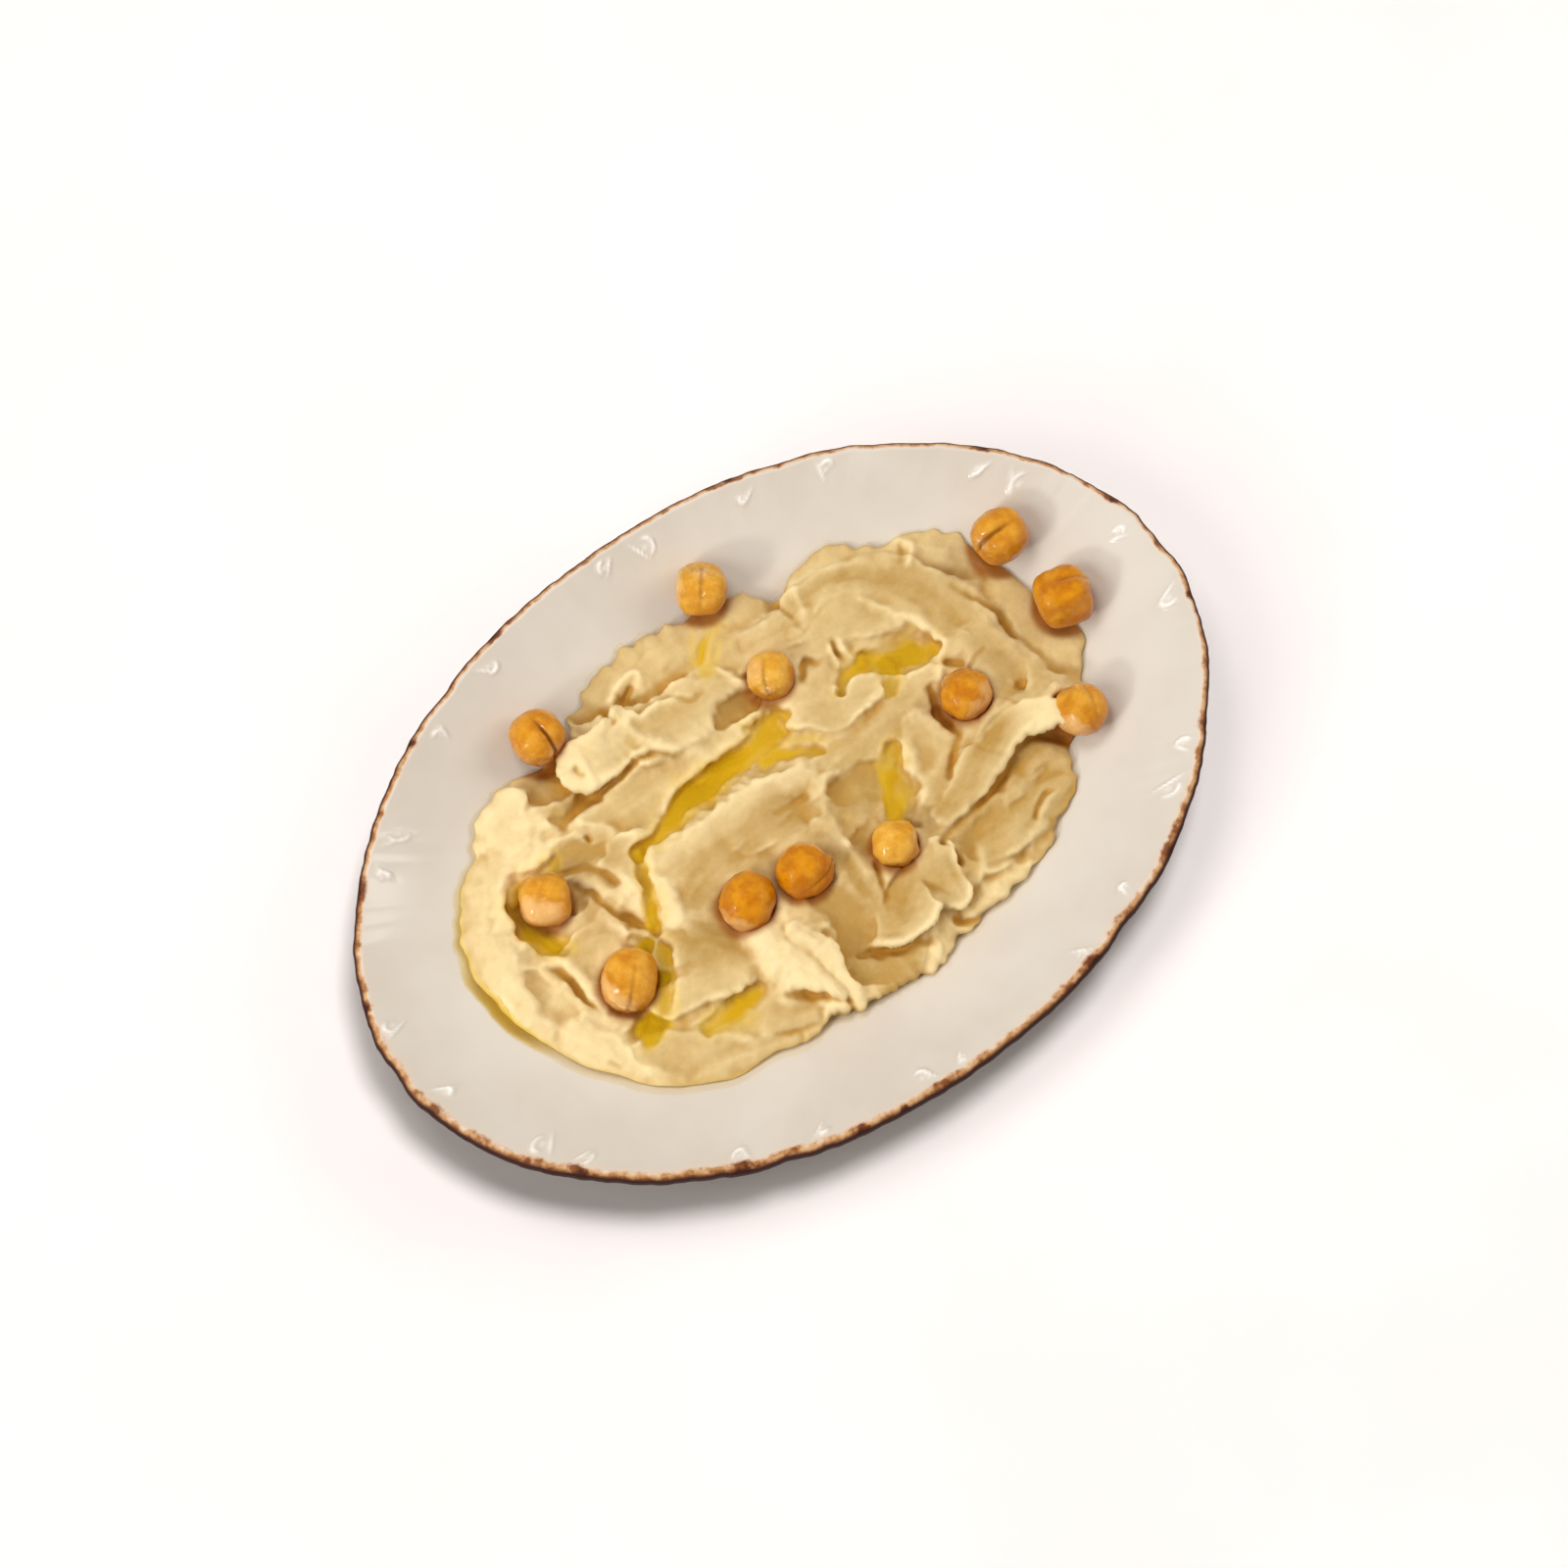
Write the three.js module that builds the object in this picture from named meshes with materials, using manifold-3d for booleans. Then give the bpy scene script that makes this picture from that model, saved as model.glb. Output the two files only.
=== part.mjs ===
// Hummus on an oval plate, with whole chickpeas on top.
// Millimetres, +Z up. The origin is the middle of the plate's foot, on the table.
// +X runs along the plate's long axis.
import * as THREE from 'three';
import { mergeVertices } from 'three/addons/utils/BufferGeometryUtils.js';
import Module from 'manifold-3d';

// ---- driving dimensions, mm ----
const PLATE = {
  length: 210,
  width: 147,
  height: 24,
  floor: 5,          // height of the well's floor above the table
  wall: 4.4,         // thickness of the sloping wall
  lip: 1.8,          // half the thickness of the rounded rim
  wellShare: 0.42,   // the well is flat out to this share of the radius
  curve: 1.7,        // how the wall steepens towards the rim
  footShare: 0.5,    // the foot ring stands at this share of the radius
  footWidth: 4.5,
  recess: 1.6,       // the underside inside the foot ring clears the table by this
  sides: 64,
};
const GAP = 0.3;     // what touches keeps this much air, so that no two solids overlap

const HUMMUS = {
  crown: 15.6,       // usual height of the top above the table
  edge: 0.9,         // thickness left at the outermost line
  bankPower: 5,      // higher: a flatter top and a steeper bank
  spokes: 76,
  topRings: 20,
  baseRings: 5,
};

// The line where the hummus meets the plate, anticlockwise from the right-hand end.
const OUTLINE = [
  [79, -3], [76, 8], [72, 21], [69, 31], [60, 37], [50, 42], [39, 46], [33, 45.2],
  [27.4, 40.6], [23.6, 47.6], [12, 52], [0, 51.5], [-14, 51], [-26, 47], [-31, 42],
  [-44, 42], [-53, 42], [-63, 33], [-73, 23], [-77, 11], [-75, -6], [-71, -16],
  [-64, -26], [-57, -34], [-47, -40], [-32, -42.5], [-18, -43.5], [-2, -46.5],
  [9, -47.5], [17, -43.5], [32, -43.5], [43, -39.5], [56, -32], [62, -24.5], [72, -15],
];

// Spoon strokes, in the order they were made. Each runs along its path of [x, y, height] and
// sets a strip of the given half width to that height. A positive cup hollows the strip and a
// negative one domes it. Tilt raises the strip's left-hand side, in mm per mm.
const STROKES = [
  { name: 'north slope', path: [[-20, 45, 11], [0, 45, 13], [20, 45, 12.5]], half: 6, cup: -0.6 },
  { name: 'west band', path: [[-50, 38, 13], [-66, 20, 14], [-71, -8, 13]], half: 6, cup: -2 },
  { name: 'pea hollow', path: [[-64, 18, 12], [-58, 9, 11], [-50, 1, 12.5]], half: 8, cup: 1.8 },
  { name: 'west facet', path: [[-66, 1, 12], [-64, -10, 11.5]], half: 4, cup: 0.6 },
  { name: 'south pea hollow', path: [[-45, 0, 12], [-48, -11, 11], [-52, -22, 10.5]], half: 7, cup: 1.2 },
  { name: 'south west bank', path: [[-60, -18, 13], [-57, -32, 11]], half: 4, cup: -1.5 },
  { name: 'golden crease', path: [[-31, 11, 13], [-35, 4, 11.5], [-38, -5, 12]], half: 2.4, cup: 1 },
  { name: 'top block', path: [[-29, 35, 17.5], [-8, 34, 17], [9, 31, 15]], half: 5.5, cup: -0.8 },
  { name: 'band', path: [[-38, 24, 14], [-20, 23, 14.5], [2, 24, 14.5]], half: 5, cup: 0.4, tilt: 0.15 },
  { name: 'centre lobe', path: [[-27, 5, 16.5], [-10, 5, 17.5], [5, 2, 17]], half: 8, cup: -1.6 },
  { name: 'crescent pool', path: [[-29, 12.5, 13.5], [-10, 17, 12.2], [8, 16, 12.6]], half: 4.2, cup: 1.6 },
  { name: 'middle facet', path: [[16, 20, 15.5], [30, 11, 15]], half: 7, cup: -0.4 },
  { name: 'outer sweep', path: [[31, 37, 15], [47, 34, 16], [59, 22, 16], [64, 4, 15]], half: 8, cup: 1.4 },
  { name: 'corner pool', path: [[32, 19, 13.2], [42, 17, 12.2], [49, 14, 12.6]], half: 5, cup: 1.4 },
  { name: 'lower hollow', path: [[16, -2, 13.5], [22, -7, 12.4], [27, -11, 12.8]], half: 7.5, cup: 2.2 },
  { name: 'east slope', path: [[30, -30, 13], [44, -27, 13.5], [57, -24, 11.5]], half: 7, cup: -0.8 },
  { name: 'flap', path: [[30, -19, 15.5], [48, -14, 17.8], [67, -13, 17.5]], half: 5, cup: -0.8, tilt: -0.1 },
  { name: 'south facet', path: [[-1, -21, 14.5], [0, -34, 12.5]], half: 6, cup: 0.6 },
  { name: 'south ridge', path: [[-19, -24, 15.5], [-12, -41, 14]], half: 5.5, cup: -1.6 },
  { name: 'petal', path: [[22, -30, 15.5], [4, -35, 14.5]], half: 8, cup: -0.5 },
  { name: 'south pool', path: [[-41, -29, 12], [-27, -29, 12]], half: 4, cup: 1 },
];
const STROKE_EDGE = 1.6;   // a stroke fades into what is beside it over this width

// Each chickpea: place, radii, and the way its beak points (heading in the plane, rise above it).
// A sunk one sits in the hummus to the given depth, and the others lie on the plate.
const CHICKPEAS = [
  { x: 15.4, y: 53.0, radius: 6.0, long: 1.04, heading: 110, rise: 35, onPlate: true },
  { x: 76.6, y: 23.7, radius: 6.3, long: 1.02, heading: 215, rise: 10, onPlate: true },
  { x: 80.0, y: 4.1, radius: 6.3, long: 1.04, heading: 10, rise: 5, onPlate: true },
  { x: 68.4, y: -18.9, radius: 6.1, long: 1.02, heading: 60, rise: 20, onPlate: true },
  { x: 49.8, y: -0.6, radius: 6.0, long: 1.02, heading: 250, rise: 15, sunk: 4.2 },
  { x: 16.8, y: 28.3, radius: 5.4, long: 1.03, heading: 90, rise: 40, sunk: 3.6 },
  { x: -34.3, y: 46.5, radius: 6.3, long: 1.06, heading: 275, rise: 10, onPlate: true },
  { x: 16.9, y: -19.6, radius: 5.5, long: 1.02, heading: 200, rise: 30, sunk: 4.0 },
  { x: -3.3, y: -12.9, radius: 6.1, long: 1.08, heading: 300, rise: 5, sunk: 4.6 },
  { x: -17.9, y: -11.6, radius: 6.4, long: 1.12, heading: 100, rise: 10, sunk: 4.6 },
  { x: -53.8, y: 15.7, radius: 5.9, long: 1.12, heading: 130, rise: 15, sunk: 4.0 },
  { x: -49.4, y: -9.9, radius: 6.4, long: 1.2, heading: 255, rise: 8, sunk: 4.2 },
];
const PEA_SIDES = 13;
const PEA_RINGS = 8;

const COLOURS = {
  plate: 0xe4ddd0,
  hummus: 0xe6c98c,
  chickpea: 0xe0a03c,
};

// ---- small helpers ----
const radians = THREE.MathUtils.degToRad;
const mix = THREE.MathUtils.lerp;
const { smoothstep } = THREE.MathUtils;

function meshOf(name, geometry, color, roughness) {
  const material = new THREE.MeshStandardMaterial({ color, roughness, metalness: 0 });
  geometry.computeVertexNormals();
  const mesh = new THREE.Mesh(geometry, material);
  mesh.name = name;
  return mesh;
}

// A closed skin from loops of equal length that run anticlockwise seen from above. The first
// and last entries are single points, and the loops go over the top from one to the other.
function skinOf(first, loops, last) {
  const sides = loops[0].length;
  const positions = [first, ...loops.flat(), last].flatMap((p) => [p.x, p.y, p.z]);
  const at = (loop, side) => 1 + loop * sides + (side % sides);
  const end = 1 + loops.length * sides;
  const index = [];
  for (let side = 0; side < sides; side += 1) {
    index.push(0, at(0, side), at(0, side + 1));
    for (let loop = 0; loop + 1 < loops.length; loop += 1) {
      const inner = [at(loop, side), at(loop, side + 1)];
      const outer = [at(loop + 1, side), at(loop + 1, side + 1)];
      index.push(inner[0], outer[0], outer[1], inner[0], outer[1], inner[1]);
    }
    index.push(at(loops.length - 1, side + 1), at(loops.length - 1, side), end);
  }
  const geometry = new THREE.BufferGeometry();
  geometry.setAttribute('position', new THREE.Float32BufferAttribute(positions, 3));
  geometry.setIndex(index);
  return geometry;
}

// ---- the plate ----
const HALF_LENGTH = PLATE.length / 2;
const HALF_WIDTH = PLATE.width / 2;
const RIM_INSET = PLATE.lip;

// Height of the plate's upper face. Share is 0 in the middle and 1 at the top of the rim.
function wellHeight(share) {
  const climb = Math.max(0, share - PLATE.wellShare) / (1 - PLATE.wellShare);
  return mix(PLATE.floor, PLATE.height, climb ** PLATE.curve);
}

function plateTop(x, y) {
  return wellHeight(Math.hypot(x / (HALF_LENGTH - RIM_INSET), y / (HALF_WIDTH - RIM_INSET)));
}

function ellipseLoop(semiX, semiY, z) {
  return Array.from({ length: PLATE.sides }, (unused, side) => {
    const angle = (side / PLATE.sides) * 2 * Math.PI;
    return new THREE.Vector3(semiX * Math.cos(angle), semiY * Math.sin(angle), z);
  });
}

function makePlate() {
  const topLoop = (share) => ellipseLoop(
    share * (HALF_LENGTH - RIM_INSET),
    share * (HALF_WIDTH - RIM_INSET),
    wellHeight(share),
  );
  const footLoop = (out, z) => ellipseLoop(
    PLATE.footShare * HALF_LENGTH + out,
    PLATE.footShare * HALF_WIDTH + out,
    z,
  );
  const underside = (share) => ellipseLoop(
    share * HALF_LENGTH,
    share * HALF_WIDTH,
    Math.max(PLATE.recess, wellHeight(share) - PLATE.wall),
  );
  const rimEdge = PLATE.height - PLATE.lip * 0.8;
  const loops = [
    ...[0.42, 0.55, 0.66, 0.76, 0.85, 0.93, 1].map(topLoop),
    ellipseLoop(HALF_LENGTH, HALF_WIDTH, rimEdge),
    ellipseLoop(HALF_LENGTH - PLATE.lip * 0.5, HALF_WIDTH - PLATE.lip * 0.5, rimEdge - PLATE.lip),
    ...[0.88, 0.76, 0.64].map(underside),
    footLoop(PLATE.footWidth, PLATE.recess * 1.2),
    footLoop(PLATE.footWidth - 1, 0),
    footLoop(1, 0),
    footLoop(0, PLATE.recess),
  ];
  const geometry = skinOf(new THREE.Vector3(0, 0, PLATE.floor), loops, new THREE.Vector3(0, 0, PLATE.recess));
  return meshOf('plate', geometry, COLOURS.plate, 0.35);
}

// ---- the hummus ----
const outlineCurve = new THREE.CatmullRomCurve3(
  OUTLINE.map(([x, y]) => new THREE.Vector3(x, y, 0)),
  true,
);
const outlineSamples = outlineCurve.getPoints(600).map((p) => ({
  angle: (Math.atan2(p.y, p.x) + 2 * Math.PI) % (2 * Math.PI),
  radius: Math.hypot(p.x, p.y),
}));
outlineSamples.sort((a, b) => a.angle - b.angle);

function outlineRadius(angle) {
  const turn = (angle + 2 * Math.PI) % (2 * Math.PI);
  const next = outlineSamples.findIndex((sample) => sample.angle >= turn);
  const high = outlineSamples[Math.max(next, 0)];
  const low = outlineSamples.at(next > 0 ? next - 1 : -1);
  const span = (high.angle - low.angle + 2 * Math.PI) % (2 * Math.PI);
  const along = span > 0 ? ((turn - low.angle + 2 * Math.PI) % (2 * Math.PI)) / span : 0;
  return mix(low.radius, high.radius, along);
}

// Share of the way from the middle out to the outline.
function outlineShare(x, y) {
  return Math.hypot(x, y) / outlineRadius(Math.atan2(y, x));
}

const strokeCurves = STROKES.map(({ path }) => new THREE.CatmullRomCurve3(
  path.map(([x, y, z]) => new THREE.Vector3(x, y, z)),
).getPoints(24));

// Where (x, y) lies beside a stroke: height on the path, and signed distance to its left.
function beside(points, x, y) {
  let nearest = { distance: Infinity };
  for (let i = 0; i + 1 < points.length; i += 1) {
    const start = points[i];
    const run = points[i + 1].clone().sub(start);
    const flat = run.x * run.x + run.y * run.y;
    const along = THREE.MathUtils.clamp(((x - start.x) * run.x + (y - start.y) * run.y) / flat, 0, 1);
    const offX = x - start.x - along * run.x;
    const offY = y - start.y - along * run.y;
    const distance = Math.hypot(offX, offY);
    if (distance < nearest.distance) {
      const side = Math.sign(run.x * offY - run.y * offX);
      nearest = { distance, left: side * distance, height: start.z + along * run.z };
    }
  }
  return nearest;
}

function hummusHeight(x, y) {
  let height = HUMMUS.crown + 0.5 * Math.sin(x / 11) * Math.cos(y / 9);
  STROKES.forEach((stroke, i) => {
    const { distance, left, height: onPath } = beside(strokeCurves[i], x, y);
    const across = distance / stroke.half;
    if (across > 1 + STROKE_EDGE / stroke.half) {
      return;
    }
    const strip = onPath - stroke.cup * (1 - across * across) + (stroke.tilt ?? 0) * left;
    const hold = 1 - smoothstep(distance, stroke.half - STROKE_EDGE, stroke.half + STROKE_EDGE);
    height = mix(height, strip, hold);
  });
  const base = plateTop(x, y) + GAP;
  const bank = Math.max(0, 1 - outlineShare(x, y) ** HUMMUS.bankPower) ** 0.5;
  return base + HUMMUS.edge + Math.max(0, height - base - HUMMUS.edge) * bank;
}

function hummusLoop(share, heightAt) {
  return Array.from({ length: HUMMUS.spokes }, (unused, spoke) => {
    const angle = (spoke / HUMMUS.spokes) * 2 * Math.PI;
    const radius = share * outlineRadius(angle);
    const x = radius * Math.cos(angle);
    const y = radius * Math.sin(angle);
    return new THREE.Vector3(x, y, heightAt(x, y));
  });
}

function hummusBody() {
  const top = [];
  for (let ring = 1; ring <= HUMMUS.topRings; ring += 1) {
    top.push(hummusLoop((ring / HUMMUS.topRings) ** 0.85, hummusHeight));
  }
  const restHeight = (x, y) => plateTop(x, y) + GAP;
  const base = [];
  for (let ring = HUMMUS.baseRings; ring >= 1; ring -= 1) {
    base.push(hummusLoop(ring / HUMMUS.baseRings, restHeight));
  }
  return skinOf(
    new THREE.Vector3(0, 0, hummusHeight(0, 0)),
    [...top, ...base],
    new THREE.Vector3(0, 0, restHeight(0, 0)),
  );
}

// ---- the chickpeas ----
// Distance from the middle to the skin in a direction, for a radius of 1. The beak is a small
// point at +X, and a groove runs from it over the top between the two cheeks.
function peaReach(direction, long) {
  const { x, y, z } = direction;
  const beak = 0.16 * Math.exp(-(1 - x) / 0.07);
  const front = smoothstep(x, -0.2, 0.9);
  const groove = 0.07 * front * Math.exp(-((y / 0.2) ** 2)) * smoothstep(z, -0.6, 0.2);
  const flat = 0.04 * Math.abs(y) ** 3;
  return 1 + (long - 1) * x * x + beak - groove - flat;
}

// Extra is added all round, for the hollow that the chickpea presses.
function peaGeometry({ radius, long, heading, rise }, extra) {
  const geometry = new THREE.SphereGeometry(1, PEA_SIDES, PEA_RINGS);
  geometry.deleteAttribute('normal');
  geometry.deleteAttribute('uv');
  const merged = mergeVertices(geometry);
  const position = merged.getAttribute('position');
  const point = new THREE.Vector3();
  for (let i = 0; i < position.count; i += 1) {
    point.fromBufferAttribute(position, i).normalize();
    point.multiplyScalar(radius * peaReach(point, long) + extra);
    position.setXYZ(i, point.x, point.y, point.z);
  }
  merged.rotateY(-radians(rise));
  merged.rotateZ(radians(heading));
  return merged;
}

// The height at which a round thing of this reach just clears the plate.
function restOnPlate(x, y, reach) {
  let centre = 0;
  for (let ring = 0; ring <= 6; ring += 1) {
    const out = (ring / 6.5) * reach;
    for (let side = 0; side < 16; side += 1) {
      const angle = (side / 16) * 2 * Math.PI;
      const floor = plateTop(x + out * Math.cos(angle), y + out * Math.sin(angle));
      centre = Math.max(centre, floor + Math.sqrt(reach * reach - out * out));
    }
  }
  return centre + GAP;
}

function peaCentre(pea) {
  const rest = restOnPlate(pea.x, pea.y, pea.radius * Math.max(1, pea.long));
  const z = pea.onPlate ? rest : Math.max(rest, hummusHeight(pea.x, pea.y) + pea.radius - pea.sunk);
  return new THREE.Vector3(pea.x, pea.y, z);
}

// ---- joining and cutting ----
const manifold = await Module();
manifold.setup();

function toSolid(geometry) {
  return new manifold.Manifold(new manifold.Mesh({
    numProp: 3,
    vertProperties: new Float32Array(geometry.getAttribute('position').array),
    triVerts: new Uint32Array(geometry.getIndex().array),
  }));
}

function fromSolid(solid) {
  const { vertProperties, triVerts } = solid.getMesh();
  const geometry = new THREE.BufferGeometry();
  geometry.setAttribute('position', new THREE.BufferAttribute(vertProperties, 3));
  geometry.setIndex(new THREE.BufferAttribute(triVerts, 1));
  return geometry;
}

function makeHummus(centres) {
  let solid = toSolid(hummusBody());
  CHICKPEAS.forEach((pea, i) => {
    const hollow = peaGeometry(pea, GAP * 1.5);
    hollow.translate(centres[i].x, centres[i].y, centres[i].z);
    solid = solid.subtract(toSolid(hollow));
  });
  return meshOf('hummus', fromSolid(solid), COLOURS.hummus, 0.6);
}

// ---- the whole ----
const group = new THREE.Group();
const centres = CHICKPEAS.map(peaCentre);
group.add(makePlate(), makeHummus(centres));
CHICKPEAS.forEach((pea, i) => {
  const name = `chickpea_${String(i + 1).padStart(2, '0')}`;
  const mesh = meshOf(name, peaGeometry(pea, 0), COLOURS.chickpea, 0.45);
  mesh.position.copy(centres[i]);
  group.add(mesh);
});

export default group;
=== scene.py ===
import math

import bpy
import numpy as np
from mathutils import Matrix, Vector


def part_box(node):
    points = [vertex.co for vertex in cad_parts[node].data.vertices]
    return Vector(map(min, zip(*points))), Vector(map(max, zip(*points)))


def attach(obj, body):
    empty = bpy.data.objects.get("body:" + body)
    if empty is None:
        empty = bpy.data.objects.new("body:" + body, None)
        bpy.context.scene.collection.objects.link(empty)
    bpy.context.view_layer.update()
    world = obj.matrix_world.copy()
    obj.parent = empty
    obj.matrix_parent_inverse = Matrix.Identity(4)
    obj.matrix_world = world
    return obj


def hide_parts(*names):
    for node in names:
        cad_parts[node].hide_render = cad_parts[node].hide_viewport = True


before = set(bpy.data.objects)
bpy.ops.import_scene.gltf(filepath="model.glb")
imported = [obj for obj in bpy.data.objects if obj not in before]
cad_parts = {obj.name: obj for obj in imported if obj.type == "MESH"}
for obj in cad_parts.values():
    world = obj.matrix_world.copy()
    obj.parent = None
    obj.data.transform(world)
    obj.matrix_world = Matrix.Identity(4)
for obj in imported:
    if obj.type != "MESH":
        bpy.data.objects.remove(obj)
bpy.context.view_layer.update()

MM = 0.001
BODY = "root"
plate_low, plate_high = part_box("plate")
HALF_LENGTH = (plate_high.x - plate_low.x) / 2 / MM
HALF_WIDTH = (plate_high.y - plate_low.y) / 2 / MM
RIM_HEIGHT = plate_high.z / MM

# ---- the plate ----
FLOOR_HEIGHT = 5.0  # top of the flat floor
LIP = 1.8  # radius of the rounded rim
WELL_SHARE = 0.42  # how far out the floor stays flat
WALL_CURVE = 1.7  # how the wall climbs from there
WALL = 4.4  # thickness of the ware
RECESS = 1.6  # height of the underside inside the foot
FOOT_SHARE = 0.5
FOOT_WIDTH = 4.5
# The foot ring from outside to inside: distance out from its inner line, height.
FOOT_PROFILE = [
    (FOOT_WIDTH, 1.2 * RECESS), (FOOT_WIDTH - 0.4, 0.5), (FOOT_WIDTH - 1, 0),
    (1, 0), (0.3, 0.5), (0, RECESS),
]
PLATE_SIDES = 1000
FAR_FROM_EDGE = 9
MOTIFS = 6
# Bosses of one motif: share of the way round, distance in from the edge, radius of the ring.
BOSSES = [(-0.02, 5.4, 1.9), (0.0, 4.4, 1.2), (0.064, 4.2, 1.5), (0.1, 4.8, 1.1)]
# Dark spots on the edge: heading and half width, in degrees.
DARK_SPOTS = [
    (12, 1.5), (35, 1), (71, 1.5), (106, 1.5), (124, 1), (147, 2), (167, 1), (189, 1.5), (215, 2),
    (238, 2), (254, 1), (260, 1), (290, 1.5), (308, 1.2), (328, 1), (350, 1),
]

# ---- the heap ----
CROWN = 15.6  # height where no stroke is near
CROWN_WEIGHT = 0.02
CELL = 0.35  # of the raster of heights
RASTER_MARGIN = 6
BLEND = 2.5  # how softly the broad form passes from stroke to stroke
LIVELY = 1.25  # how far a stroke leaves the broad form
LEAN = 0.14  # most sideways slope of a stroke
FOLD_DEPTH = 0.7
EDGE_SHARE = 0.4  # height of the bank at the outline, as a share of the heap's
BANK_POWER = 11
EDGE_LIFT = 1.4
CALM_HEADING, CALM_SPREAD = 202, 38  # where the outline is smooth, in degrees
OVERHANG = 0.7
PRESSED_IN = 0.3  # how far the underside goes into the plate
HEAP_LENGTH, HEAP_WIDTH = 78, 49  # half sides, which share out the grid of places
HUMMUS_ROWS, HUMMUS_COLUMNS = 240, 372
TOP_SHARE = 0.97  # of the grid lies on top, the rest goes down the bank
UNDER_TUCK = 0.012  # how far the foot of the bank draws in, as a share
OUTLINE = [
    (79, -3), (76, 8), (72, 21), (69, 31), (60, 37), (50, 42), (39, 46), (33, 45.2), (27.4, 40.6),
    (23.6, 47.6), (12, 52), (0, 51.5), (-14, 51), (-26, 47), (-31, 42), (-44, 42), (-53, 42), (-63, 33),
    (-73, 23), (-77, 11), (-75, -6), (-71, -16), (-64, -26), (-57, -34), (-47, -40), (-32, -42.5),
    (-18, -43.5), (-2, -46.5), (9, -47.5), (17, -43.5), (32, -43.5), (43, -39.5), (56, -32), (62, -24.5),
    (72, -15),
]
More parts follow.
